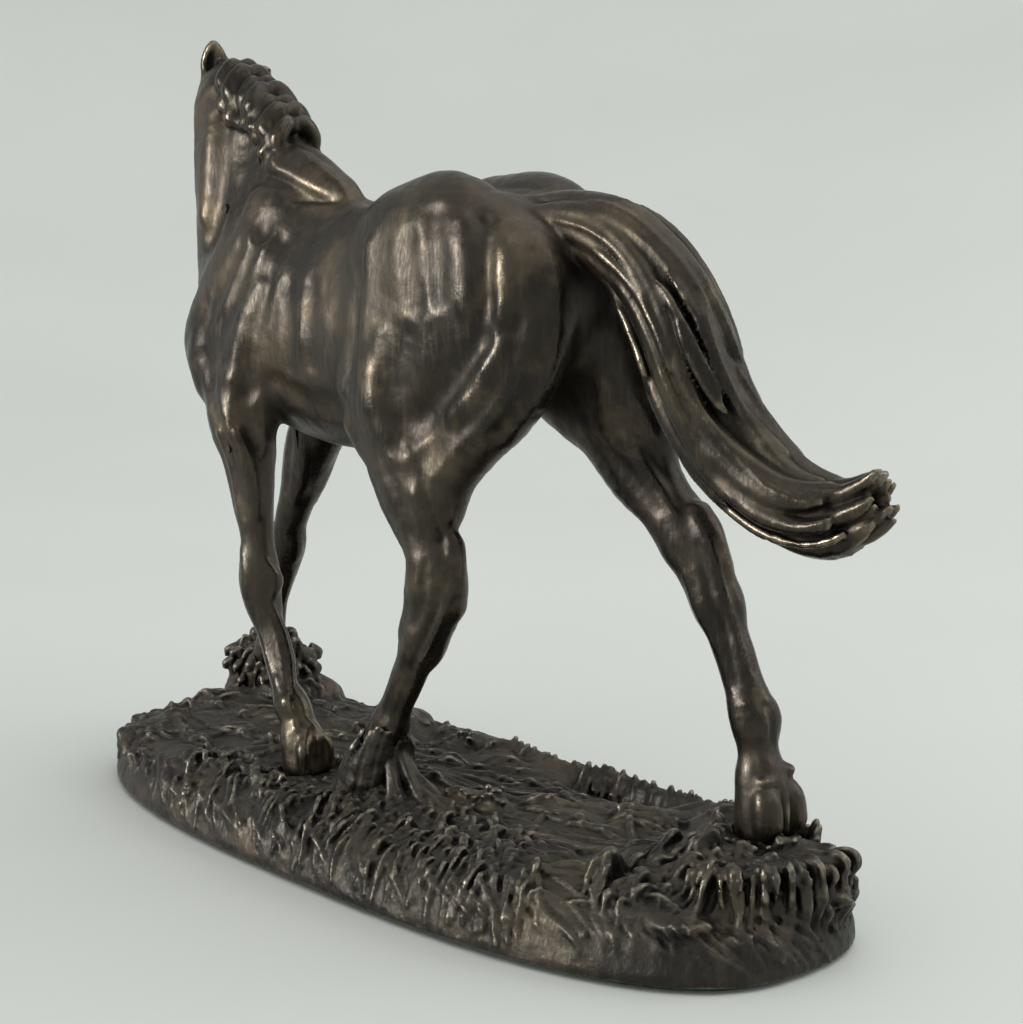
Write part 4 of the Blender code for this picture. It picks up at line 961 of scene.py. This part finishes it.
def blade(clay, foot, lean, height, radius, curl, blend=0.7):
    """A blade of grass: up from its broad foot, leaning, and curling over at the tip."""
    lean = np.array((*lean, 0.0))
    rows = []
    for share, thick in ((0, 1.5), (0.35, 1.25), (0.65, 1.0), (0.88, 0.8), (1.0, 0.6)):
        rise = height * (share - curl * share ** 3)
        out = lean * (0.3 * share + 0.7 * share ** 2)
        rows.append((*(np.array(foot) + out + (0, 0, rise)), max(radius * thick, 0.75)))
    clay.limb(rows, blend, step=2.5)


def on_turf(clay, x, y):
    """The turf's top at a place in plan."""
    found, hit = clay.surface(np.array([(x, y, 30.0)]), np.array((0, 0, 1.0)), reach=25)
    return float(found[0][2]) if hit[0] and found[0][2] > TURF_EDGE else None


# Every patch: how many strands, the ranges of X and Y, the heading in degrees and its spread in
# radians, then a strand's length, radius and height.
LYING_GRASS = (
    (460, (-140, 120), (-46, 40), 12, 0.5, 17, 0.95, 1.15),
    (190, (-70, 90), (-55, -36), -70, 0.3, 15, 0.9, 1.4),
    (120, (-5, 70), (-38, -14), -62, 0.4, 12, 0.95, 1.3),
    (60, (98, 118), (-34, 4), -80, 0.25, 17, 1.2, 1.6),
)
RIM_STRANDS, CLODS = 420, 60


def lying_grass(clay, random, count, x_range, y_range, heading, spread, length, radius, height):
    """Strands combed flat along the turf, in one direction with a spread."""
    for _ in range(count):
        x, y = random.uniform(*x_range), random.uniform(*y_range)
        angle = math.radians(heading) + random.normal(0, spread) + 0.35 * math.sin(x / 23 + y / 17)
        run, bend = random.uniform(0.6, 1.3) * length, random.normal(0, 0.35)
        places = []
        for share in np.linspace(0, 1, 6):
            turn = angle + bend * (share - 0.5)
            at = run * (share - 0.5)
            places.append((x + math.cos(turn) * at, y + math.sin(turn) * at, 26.0))
        clay.stroke(places, radius * random.uniform(0.7, 1.25), height * random.uniform(0.6, 1.3), 0.5, UP)


def rim_grass(clay, random):
    """Strands that come over the shoulder of the base and are combed slantwise down its side."""
    half_x, half_y = (BASE_HIGH - BASE_LOW)[:2] / 2
    for _ in range(RIM_STRANDS):
        angle = random.uniform(0, 2 * math.pi)
        power = 2 / BASE_SQUARENESS
        c, s = math.cos(angle), math.sin(angle)
        rim = np.array((half_x * math.copysign(abs(c) ** power, c),
                        half_y * math.copysign(abs(s) ** power, s)))
        out = unit((rim[0] / half_x ** 2, rim[1] / half_y ** 2))
        along = np.array((-out[1], out[0]))
        drift = random.normal(9, 5)
        top, bottom = random.uniform(12, 19), random.uniform(7, 12)
        places = []
        for share in np.linspace(0, 1, 5):
            spot = rim - out * (7.0 * (1 - share) ** 2) + along * drift * (share + 0.25 * math.sin(3 * share))
            places.append((*spot, top + (bottom - top) * share))
        clay.stroke(places, random.uniform(0.7, 1.15), random.uniform(0.35, 0.8), 0.5, (out[0], out[1], 0.7))


def clods(clay, random):
    """The uneven ground under the grass."""
    for _ in range(CLODS):
        x, y = random.uniform(-132, 128), random.uniform(-42, 44)
        ground = on_turf(clay, x, y)
        if ground is None:
            continue
        wide = random.uniform(5, 10)
        clay.ball((x, y, ground - 1.2), (wide * random.uniform(0.8, 1.5), wide, random.uniform(2.0, 3.4)), 3)


def tuft(clay, random, x, y, tall, blades, reach=3.0):
    """A low wave of turf: broad blades side by side that all lean and curl one way."""
    ground = on_turf(clay, x, y)
    if ground is None:
        return
    heading = random.normal(-0.6, 0.5)
    way = np.array((math.cos(heading), math.sin(heading)))
    across = np.array((-way[1], way[0]))
    clay.ball((x, y, ground - 0.5), (5.0, 4.2, tall * 0.5), 3)
    for i in range(blades):
        share = (i + 0.5) / blades - 0.5
        foot = np.array((x, y)) + across * share * 2 * reach + way * random.normal(0, 0.7)
        lean = way * tall * random.uniform(0.3, 0.7) + across * share * 3
        height = 1.5 + tall * (1 - 1.6 * share * share) * random.uniform(0.8, 1.1)
        blade(clay, (*foot, ground - 1.5), lean, height, random.uniform(1.0, 1.35),
              random.uniform(0.05, 0.3), 1.4)


FAR_RIDGE = [(-20, 35, 19), (-8, 37, 21.5), (4, 38, 20), (18, 38.5, 19.5), (34, 38.5, 21.5),
             (50, 38, 21), (66, 37, 21.5), (82, 34, 23), (96, 30, 26), (106, 27, 27)]


def far_ridge(clay, random):
    """The long bank of standing grass along the far side, its strands combed down its near face."""
    bank = smooth_path([(x, y, z - 2.5, 3.4, 3.4) for x, y, z in FAR_RIDGE], 2.0)
    clay.limb([(*row[:3], row[3] * random.uniform(0.85, 1.1), row[4]) for row in bank[::2]], 3.5, step=FAR)
    for place in smooth_path(FAR_RIDGE, 1.5):
        x, y, z = place + random.normal(0, 0.5, 3)
        fall, slant = random.uniform(5, 10), random.normal(1.5, 1.5)
        lift = random.uniform(0.2, 2.2)
        rows = [(x, y, z + lift, 0.8), (x + slant * 0.2, y - 1.6, z - 0.4, 1.15),
                (x + slant * 0.6, y - 3.4, z - fall * 0.45, 1.05), (x + slant, y - 5.4, z - fall * 0.8, 0.8)]
        clay.limb(rows, 0.7, step=2.5)


def upright_tufts(clay, random):
    """The loose waves of grass on the turf."""
    for x, y, tall in ((-24, 32, 5), (-12, 33, 4), (24, -3, 5), (31, -6, 6), (19, -8, 4), (-60, 33, 4),
                       (-42, 35, 4), (99, 22, 4), (90, 22, 4), (-116, -22, 2.5), (64, 18, 3), (50, 20, 3),
                       (38, 8, 3), (86, -28, 2.5), (74, 22, 3)):
        tuft(clay, random, x, y, tall, 5)


SHEAF_STRANDS, FAN_STRANDS = 36, 34


def hoof_grass(clay, random):
    """The sheaf of standing grass that hides the planted hind hoof, and short blades at the others."""
    clay.limb([(-4, -22, 30, 4.5), (-7.5, -22, 23, 7.5), (-10, -22, 14, 9.5)], 3)
    clay.limb([(2, -22, 22, 4), (9, -22, 18, 4.5), (20, -22, 14, 4.5)], 4)
    for i in range(SHEAF_STRANDS):
        angle = 2 * math.pi * (i + random.uniform(-0.3, 0.3)) / SHEAF_STRANDS
        c, s = math.cos(angle), math.sin(angle)
        top = 34 + 4.5 * math.cos(angle + 0.8) + random.uniform(-2.5, 2)
        splay = random.uniform(12.5, 15.5)
        rows = [(-0.6 + 8.0 * c, -22 + 7.8 * s, top + 2, 0.9),
                (-4.4 + 9.4 * c, -22 + 9.2 * s, top * 0.55 + 11.5, 1.4),
                (-8.4 + 10.6 * c, -22 + 10.4 * s, 20.5, 1.4),
                (-10 + splay * c, -22 + splay * 0.95 * s, 15.5, 1.1)]
        clay.limb(rows, 0.3, step=2.5)
    for _ in range(FAN_STRANDS):
        spread = random.uniform(-1, 1)
        far = random.uniform(14, 30)
        rows = [(5.5, -22 + 4.5 * spread, 33 - 5 * abs(spread) + random.uniform(-3, 3), 0.9),
                (5 + far * 0.25, -22 + 6.5 * spread, 25.5 - 3 * abs(spread) + random.uniform(-1.5, 1.5), 1.2),
                (3 + far * 0.6, -22 + 10.5 * spread, 20 - abs(spread) + random.uniform(-1, 1), 1.2),
                (3 + far, -22 + 14 * spread, 16.5, 0.9)]
        clay.limb(rows, 0.3, step=2.5)
    for centre_x, centre_y, ground, reach, count in ((-37.5, -24, 17, 10.5, 22), (114.5, 20, 25, 12, 30)):
        for i in range(count):
            angle = 2 * math.pi * (i + random.uniform(-0.4, 0.4)) / count
            x = centre_x + (reach + random.uniform(-0.5, 2)) * math.cos(angle)
            y = centre_y + (reach + random.uniform(-0.5, 2)) * math.sin(angle)
            lean = (math.cos(angle) * random.uniform(0, 3), math.sin(angle) * random.uniform(0, 3))
            blade(clay, (x, y, ground - 2), lean, random.uniform(4, 8), random.uniform(1.2, 1.9),
                  random.uniform(0.1, 0.4), 1.0)


GOLDEN_TURN = 0.381966          # the turn between one lock and the next, which spreads them evenly
FRONT_LOCKS = 78


def front_tussock(clay, random):
    """The deep tussock that the leading hoof reaches into, its thick locks curling outward."""
    for centre, radii in (((-135, 25, 20), (9, 8, 13)), ((-121, 31, 21), (9, 7, 11)),
                          ((-110, 35, 18), (8, 6, 7)), ((-128, 26, 15), (20, 13, 9))):
        clay.ball(centre, radii, 5)
    for i in range(FRONT_LOCKS):
        angle = 2 * math.pi * i * GOLDEN_TURN
        share = (i + 0.5) / FRONT_LOCKS
        c, s = math.cos(angle), math.sin(angle)
        x, y = -126 + 20 * share * c, 28 + 13 * share * s
        tall = 6 + 19 * math.exp(-((x + 139) / 8) ** 2) + 16 * math.exp(-((x + 121) / 8) ** 2)
        tall *= random.uniform(0.75, 1.05) * (1.2 - 0.6 * share)
        hook = random.uniform(2, 3.6)
        thick = random.uniform(1.5, 2.4)
        rows = [(x, y, 17, thick * 1.3), (x + hook * 0.2 * c, y + hook * 0.2 * s, 17 + tall * 0.6, thick),
                (x + hook * 0.7 * c, y + hook * 0.7 * s, 17 + tall, thick),
                (x + hook * 1.3 * c, y + hook * 1.3 * s, 17 + tall * 0.93, thick * 0.9),
                (x + hook * 1.4 * c, y + hook * 1.4 * s, 17 + tall * 0.84, max(thick * 0.6, 1.1))]
        clay.limb(rows, 0.4, step=2.5)


WAVE_CREST = [(116, -8, 21), (123, -14, 24.5), (131, -15, 26.5), (138, -10, 27), (142, 0, 26.5),
              (143, 10, 26), (140, 20, 25)]
WAVE_STROKES, WAVE_BLADES = 44, 16


def rear_tussock(clay, random):
    """Grass at the back end that is swept up and breaks over outward like a wave."""
    for centre, radii in (((128, -4, 18), (12, 11, 8)), ((134, 9, 18), (10, 12, 9)),
                          ((112, -4, 19), (9, 8, 5)), ((104, 22, 20), (12, 14, 7.4)),
                          ((130, 20, 18), (11, 9, 8))):
        clay.ball(centre, radii, 6)
    crest = smooth_path(WAVE_CREST, 0.5)
    ways = [unit((x - 122, y - 8, 0)) for x, y, _ in crest]
    clay.limb([(*(place - way * 3.5 - (0, 0, 6.5)), 6.8) for place, way in zip(crest[::8], ways[::8])], 4)
    for i in range(WAVE_STROKES):
        at = int((i + 0.5) / WAVE_STROKES * (len(crest) - 1))
        place, way = crest[at] + random.normal(0, 0.6, 3), ways[at]
        drift = np.array((-way[1], way[0], 0)) * random.uniform(-1, 5)
        path = [place + way * out + drift * aside + (0, 0, up) for out, aside, up in
                ((-9, -0.6, 1), (-3, 0, 0), (2.2, 0.3, -2), (4, 0.8, -8), (6, 1.4, -14))]
        raise_by = random.uniform(1.3, 2.4) if i % 3 else -random.uniform(1.2, 1.8)
        clay.stroke(path, random.uniform(0.9, 1.5), raise_by, 0.6, (way[0], way[1], 0.9))
        if i % 2:
            hook = ((-3.5, 0, -2, 1.7), (-0.5, 0, 1.4, 1.7), (2.6, 0.4, 0.6, 1.4), (3.8, 0.7, -1.8, 0.9))
            clay.limb([(*(place + way * out + drift * aside + (0, 0, up)), radius)
                       for out, aside, up, radius in hook], 0.7, step=2)
    clay.ball((137, -21.5, 18), (4.5, 3.2, 4.5), 2, cut=True)
    for _ in range(WAVE_BLADES):
        x, y = random.uniform(108, 134), random.uniform(-10, 26)
        ground = on_turf(clay, x, y)
        if ground is None:
            continue
        lean = random.normal(2.5, 1.5), random.normal(-1.5, 1.5)
        blade(clay, (x, y, ground - 2), lean, random.uniform(3.5, 7), random.uniform(1.3, 2.0),
              random.uniform(0.1, 0.4), 1.2)


def model_turf():
    clay = Clay((-156, -66, -3), (156, 66, 56), TURF_CELL)
    mound(clay, BASE_LOW[2])
    random = np.random.default_rng(SEEDS["turf"])
    clods(clay, random)
    front_tussock(clay, random)
    rear_tussock(clay, random)
    for patch in LYING_GRASS:
        lying_grass(clay, random, *patch)
    rim_grass(clay, random)
    for places, radius, height in (
            ([(-124, -26, 24), (-116, -23, 24), (-106, -27, 24), (-96, -29, 24), (-84, -28, 24)], 1.6, 1.5),
            ([(-126, -22, 24), (-120, -20, 24), (-114, -19, 24)], 1.4, 1.2)):
        clay.stroke(places, radius, height, 1, UP)
    far_ridge(clay, random)
    upright_tufts(clay, random)
    hoof_grass(clay, random)
    return clay


def hollow_out(turf):
    """Open the base from underneath, leaving a boss under every hoof, and clear the hooves."""
    hollow = turf.blank()
    mound(hollow, BELOW_ALL)
    x, y, z = hollow.grid((slice(None),) * 3)
    hollow.field = np.maximum(hollow.field + BASE_WALL, z - HOLLOW_TOP)
    for hoof_x, hoof_y, ground in HOOVES.values():
        boss = np.hypot(x - hoof_x, y - hoof_y) - BOSS_RADIUS
        boss = np.maximum(boss, ground - DECK_UNDER_HOOF - z)
        hollow.field = np.maximum(hollow.field, -boss)
    turf.field = np.maximum(turf.field, -hollow.field)
    legs = turf.blank()
    for add_part in (add_left_fore, add_right_fore, add_left_hind, add_right_hind):
        add_part(legs)
    trim_soles(legs, 0)
    turf.field = np.maximum(turf.field, HOOF_GAP - legs.field)
    for hoof_x, hoof_y, ground in HOOVES.values():
        stud = np.maximum(np.hypot(x - hoof_x, y - hoof_y) - STUD_CLEARANCE, z - ground - 1)
        turf.field = np.maximum(turf.field, -stud)


def build_base(material):
    clay = model_turf()
    hollow_out(clay)
    surface = Skin(clay)
    surface.keep_largest()
    surface.relax(1)
    height, size, seed = TURF_LUMPS
    normals = surface.normals()
    grain = height * ripple(surface.points, size, seed) * (normals[:, 2] > -0.5)
    surface.points = surface.points + normals * grain[:, None]
    mesh = surface.mesh("bronze_turf_base", patina_and_shade_values(surface, TURF_CREVICES))
    add_piece("bronze_turf_base", mesh, material, "base_casting")


# ---- materials --------------------------------------------------------------------------

class Shader:
    """A material's node tree, with short names for the nodes it uses."""

    def __init__(self, name, roughness, metallic):
        self.material = bpy.data.materials.new(name)
        self.material.use_nodes = True
        self.tree = self.material.node_tree
        self.surface = self.tree.nodes["Principled BSDF"]
        self.surface.inputs["Roughness"].default_value = roughness
        self.surface.inputs["Metallic"].default_value = metallic
        self.place = self.tree.nodes.new("ShaderNodeTexCoord").outputs["Object"]

    def link(self, source, target):
        if isinstance(source, (int, float)):
            target.default_value = source
        elif isinstance(source, tuple):
            target.default_value = (*source, 1.0)
        else:
            self.tree.links.new(source, target)

    def noise(self, scale, detail=4.0, rough=0.55, stretch=(1, 1, 1), lean=(0, 0, 0), warp=0.0):
        mapping = self.tree.nodes.new("ShaderNodeMapping")
        mapping.inputs["Scale"].default_value = stretch
        mapping.inputs["Rotation"].default_value = lean
        self.link(self.place, mapping.inputs["Vector"])
        node = self.tree.nodes.new("ShaderNodeTexNoise")
        for label, value in (("Scale", scale), ("Detail", detail), ("Roughness", rough),
                             ("Distortion", warp)):
            node.inputs[label].default_value = value
        self.link(mapping.outputs[0], node.inputs["Vector"])
        return node.outputs["Fac"]

    def attribute(self, name):
        node = self.tree.nodes.new("ShaderNodeAttribute")
        node.attribute_name = name
        return node.outputs["Fac"]

    def span(self, value, low, high, to_low=0.0, to_high=1.0):
        """Map a range of a value, smoothly, to another range."""
        node = self.tree.nodes.new("ShaderNodeMapRange")
        node.interpolation_type = "SMOOTHSTEP"
        self.link(value, node.inputs[0])
        for socket, number in zip(node.inputs[1:5], (low, high, to_low, to_high)):
            socket.default_value = number
        return node.outputs[0]

    def math(self, operation, first, second=0.0):
        node = self.tree.nodes.new("ShaderNodeMath")
        node.operation = operation
        self.link(first, node.inputs[0])
        self.link(second, node.inputs[1])
        return node.outputs[0]

    def blend(self, amount, first, second):
        node = self.tree.nodes.new("ShaderNodeMix")
        node.data_type = "RGBA"
        self.link(amount, node.inputs[0])
        self.link(first, node.inputs[6])
        self.link(second, node.inputs[7])
        return node.outputs[2]

    def colour(self, value):
        self.link(value, self.surface.inputs["Base Color"])

    def roughness(self, value):
        self.link(value, self.surface.inputs["Roughness"])

    def bumps(self, *layers):
        """Layers of height and its depth in metres, one over another."""
        normal = None
        for height, depth in layers:
            node = self.tree.nodes.new("ShaderNodeBump")
            node.inputs["Strength"].default_value = 1.0
            node.inputs["Distance"].default_value = depth
            self.link(height, node.inputs["Height"])
            if normal:
                self.link(normal, node.inputs["Normal"])
            normal = node.outputs["Normal"]
        self.link(normal, self.surface.inputs["Normal"])


# Every patina: its dark, body, warm and rubbed colours, how raised a place is where the rubbing
# begins and where it is whole, the roughness from and to, and how deep the grain is.
PATINAS = {
    "bronze_patina_and_shade": ((0.029, 0.025, 0.021), (0.052, 0.0435, 0.034), (0.095, 0.075, 0.050),
                      (0.23, 0.195, 0.14), (0.72, 1.1), (0.28, 0.40), 0.30),
    "bronze_dark_patina_and_shade": ((0.030, 0.027, 0.024), (0.054, 0.048, 0.040), (0.092, 0.076, 0.055),
                           (0.24, 0.215, 0.165), (0.70, 1.05), (0.38, 0.5), 0.8),
}
# The near-black colour of the painted shade in recesses and fine hollows.
PAINTED_SHADE_BLACK = (0.010, 0.008, 0.0065)


def patina(name):
    """Chemical brown over bronze: streaked by the brush, rubbed through on what stands out,
    and with painted shade, near black, laid into what is shut in and into fine hollows."""
    dark, body, warm, rubbed, rub, gloss, grain = PATINAS[name]
    shader = Shader(name, 0.4, 0.88)
    clouds = shader.noise(28, 5, 0.6, warp=0.4)
    warm_patches = shader.noise(46, 4, 0.6, lean=(0.4, 0.2, 0.1))
    streaks = shader.noise(520, 3, 0.6, stretch=(1.0, 1.0, 0.12), lean=(0.12, 0.2, 0), warp=0.3)
    hair = shader.noise(1500, 2, 0.5, stretch=(1.0, 1.0, 0.1), lean=(-0.15, 0.1, 0))
    pits = shader.noise(2600, 3, 0.7)
    lumps = shader.noise(190, 3, 0.5)
    raised, proud, shut_in = (shader.attribute(label) for label in ("raised", "proud", "shut_in"))
    tone = shader.blend(shader.span(clouds, 0.38, 0.62), dark, body)
    tone = shader.blend(shader.math("MULTIPLY", shader.span(warm_patches, 0.5, 0.68), 0.75), tone, warm)
    tone = shader.blend(shader.math("MULTIPLY", shader.span(streaks, 0.5, 0.72), 0.32), tone, warm)
    edge = shader.math("MULTIPLY", shader.span(raised, *rub), shader.span(streaks, 0.34, 0.6, 0.3, 1.0))
    ridge = shader.math("MULTIPLY", shader.span(proud, 0.68, 1.0), shader.span(hair, 0.42, 0.64, 0.15, 0.75))
    wear = shader.math("MAXIMUM", edge, ridge)
    tone = shader.blend(wear, tone, rubbed)
    # Painted shade: darker towards near black where clay stands close in front of the surface and where the
    # surface is sunk; the same mask also roughens these places.
    depth = shader.span(shut_in, 0.32, 0.8)
    groove = shader.span(raised, 0.46, 0.16, 0.0, 0.75)
    painted_shade = shader.math("MAXIMUM", depth, groove)
    tone = shader.blend(shader.math("MULTIPLY", painted_shade, 0.86), tone, PAINTED_SHADE_BLACK)
    shader.colour(tone)
    rough = shader.span(clouds, 0.35, 0.65, gloss[0], gloss[1])
    rough = shader.math("ADD", rough, shader.span(proud, 0.48, 0.70, 0.09, -0.08))
    rough = shader.math("ADD", rough, shader.span(hair, 0.35, 0.65, -0.05, 0.07))
    rough = shader.math("ADD", rough, shader.math("MULTIPLY", painted_shade, 0.22))
    shader.roughness(rough)
    shader.bumps((lumps, grain * 0.0010), (streaks, grain * 0.00012), (hair, grain * 0.00006),
                 (pits, grain * 0.00006))
    return shader.material


def bronze_pin():
    shader = Shader("bronze_pin_stock", 0.4, 0.9)
    tone = shader.blend(shader.noise(300, 3), (0.036, 0.030, 0.025), (0.075, 0.060, 0.043))
    shader.colour(tone)
    shader.roughness(shader.span(shader.noise(900), 0.3, 0.7, 0.32, 0.5))
    shader.bumps((shader.noise(1800, 2), 0.00004))
    return shader.material


def turned_metal(name, dull, bright):
    """Stud, washer and nut metal: fine turning marks, a little dull in patches."""
    shader = Shader(name, 0.35, 1.0)
    shader.colour(shader.blend(shader.span(shader.noise(420, 4), 0.35, 0.65), dull, bright))
    shader.roughness(shader.span(shader.noise(700, 3), 0.3, 0.7, 0.26, 0.46))
    shader.bumps((shader.noise(1600, 2, stretch=(0.1, 0.1, 1.6)), 0.00005))
    return shader.material


def felt():
    """Pressed green wool: short fibres at every angle over a cloudy ground."""
    shader = Shader("felt_wool", 0.95, 0.0)
    shader.surface.inputs["Sheen Weight"].default_value = 0.35
    shader.surface.inputs["Sheen Roughness"].default_value = 0.5
    one_way = shader.noise(2200, 3, 0.6, stretch=(1, 0.15, 1), lean=(0, 0, 0.5))
    other_way = shader.noise(2200, 3, 0.6, stretch=(0.15, 1, 1), lean=(0, 0, -0.3))
    fibres = shader.math("MAXIMUM", one_way, other_way)
    cloudy = shader.span(shader.noise(160, 4), 0.3, 0.7)
    tone = shader.blend(cloudy, (0.018, 0.045, 0.026), (0.034, 0.078, 0.044))
    shader.colour(shader.blend(shader.span(fibres, 0.5, 0.75), tone, (0.07, 0.13, 0.08)))
    shader.bumps((fibres, 0.0003))
    return shader.material


def finish_cad_nodes():
    """Better materials on the hardware and the felt, which keep their CAD shapes."""
    steel = turned_metal("steel_turned", (0.36, 0.36, 0.35), (0.56, 0.56, 0.54))
    brass = turned_metal("brass_turned", (0.42, 0.29, 0.11), (0.62, 0.45, 0.19))
    pins, wool = bronze_pin(), felt()
    for name, node in frame["nodes"].items():
        if name.endswith("_casting"):
            continue
        if "pin" in name:
            material = pins
        elif name.endswith("felt_pad"):
            material = wool
        else:
            material = brass if name.endswith("nut") else steel
        for held in node.material_slots:
            held.material = material


# ---- the studio -------------------------------------------------------------------------

def pale_paper():
    shader = Shader("studio_paper", 0.75, 0.0)
    tone = shader.blend(shader.span(shader.noise(3, 2), 0.3, 0.7), (0.70, 0.72, 0.695), (0.73, 0.745, 0.725))
    shader.colour(tone)
    return shader.material


FLOOR_RADIUS = 0.6
SWEEP_RADIUS = 2.0              # of the curve by which the paper rises from the floor
SWEEP_STEPS, SWEEP_SIDES = 22, 72
# Every light: its place, its width and height, its power in watts and its colour.
LIGHTS = {
    "key_window": ((-0.62, -1.12, 0.42), (0.30, 0.34), 13.0, (1.0, 1.0, 0.99)),
    "side_window": ((-0.25, -1.30, 0.62), (0.24, 0.30), 3.5, (1.0, 1.0, 0.99)),
    "overhead": ((0.45, 0.4, 1.9), (2.2, 2.2), 14.0, (0.98, 1.0, 0.98)),
    "right_fill": ((0.9, 1.2, 0.8), (0.9, 0.8), 4.0, (0.98, 1.0, 1.0)),
}
LIT_PLACE = (0, 0, 0.15)
AIR_COLOUR, AIR_STRENGTH = (0.82, 0.835, 0.81, 1.0), 0.785


def build_studio():
    """A seamless round sweep of paper, two window-like lights, and wide soft fills."""
    add_paper_sweep()
    bronze_only = bronze_group()
    for name, values in LIGHTS.items():
        add_light(name, *values, bronze_only if name.endswith("window") else None)
    world = bpy.data.worlds.new("studio_air")
    bpy.context.scene.world = world
    world.use_nodes = True
    background = world.node_tree.nodes["Background"]
    background.inputs["Color"].default_value = AIR_COLOUR
    background.inputs["Strength"].default_value = AIR_STRENGTH


def add_paper_sweep():
    profile = [(FLOOR_RADIUS / 2, 0.0), (FLOOR_RADIUS, 0.0)]
    profile += [(FLOOR_RADIUS + SWEEP_RADIUS * math.sin(angle), SWEEP_RADIUS * (1 - math.cos(angle)))
                for angle in np.linspace(0.06, math.pi / 2.6, SWEEP_STEPS)]
    turns = [2 * math.pi * i / SWEEP_SIDES for i in range(SWEEP_SIDES)]
    shape = bmesh.new()
    rings = [[shape.verts.new((radius * math.cos(turn), radius * math.sin(turn), height)) for turn in turns]
             for radius, height in profile]
    middle = shape.verts.new((0, 0, 0))
    for i in range(SWEEP_SIDES):
        j = (i + 1) % SWEEP_SIDES
        shape.faces.new((middle, rings[0][i], rings[0][j]))
        for inner, outer in zip(rings, rings[1:]):
            shape.faces.new((inner[i], outer[i], outer[j], inner[j]))
    mesh = bpy.data.meshes.new("studio_sweep")
    shape.to_mesh(mesh)
    shape.free()
    mesh.shade_smooth()
    sweep = bpy.data.objects.new("studio_sweep", mesh)
    bpy.context.scene.collection.objects.link(sweep)
    mesh.materials.append(pale_paper())


def bronze_group():
    """All but the paper: light linking lets the windows light the statuette alone."""
    group = bpy.data.collections.new("lit_by_windows")
    for held in bpy.context.scene.objects:
        if held.type == "MESH" and held.name != "studio_sweep":
            group.objects.link(held)
    return group


def add_light(name, place, size, power, tint, receivers):
    light = bpy.data.lights.new(name, "AREA")
    light.shape = "RECTANGLE"
    light.size, light.size_y = size
    light.energy = power
    light.color = tint
    lamp = bpy.data.objects.new(name, light)
    bpy.context.scene.collection.objects.link(lamp)
    if receivers:
        lamp.light_linking.receiver_collection = receivers
    lamp.location = place
    aim = Vector(LIT_PLACE) - Vector(place)
    lamp.rotation_euler = aim.to_track_quat("-Z", "Y").to_euler()


def place_camera():
    camera = bpy.data.cameras.new("camera")
    camera.lens = CAMERA_LENS
    camera.sensor_width = CAMERA_SENSOR
    camera.clip_start, camera.clip_end = 0.02, 20.0
    seat = bpy.data.objects.new("camera", camera)
    bpy.context.scene.collection.objects.link(seat)
    seat.location = CAMERA_PLACE
    seat.rotation_euler = (math.pi / 2 - CAMERA_TILT, 0.0, CAMERA_TURN)
    bpy.context.scene.camera = seat


def main():
    bpy.context.scene.view_settings.view_transform = "Standard"
    place_camera()
    build_horse(patina("bronze_patina_and_shade"))
    build_base(patina("bronze_dark_patina_and_shade"))
    finish_cad_nodes()
    build_studio()


main()
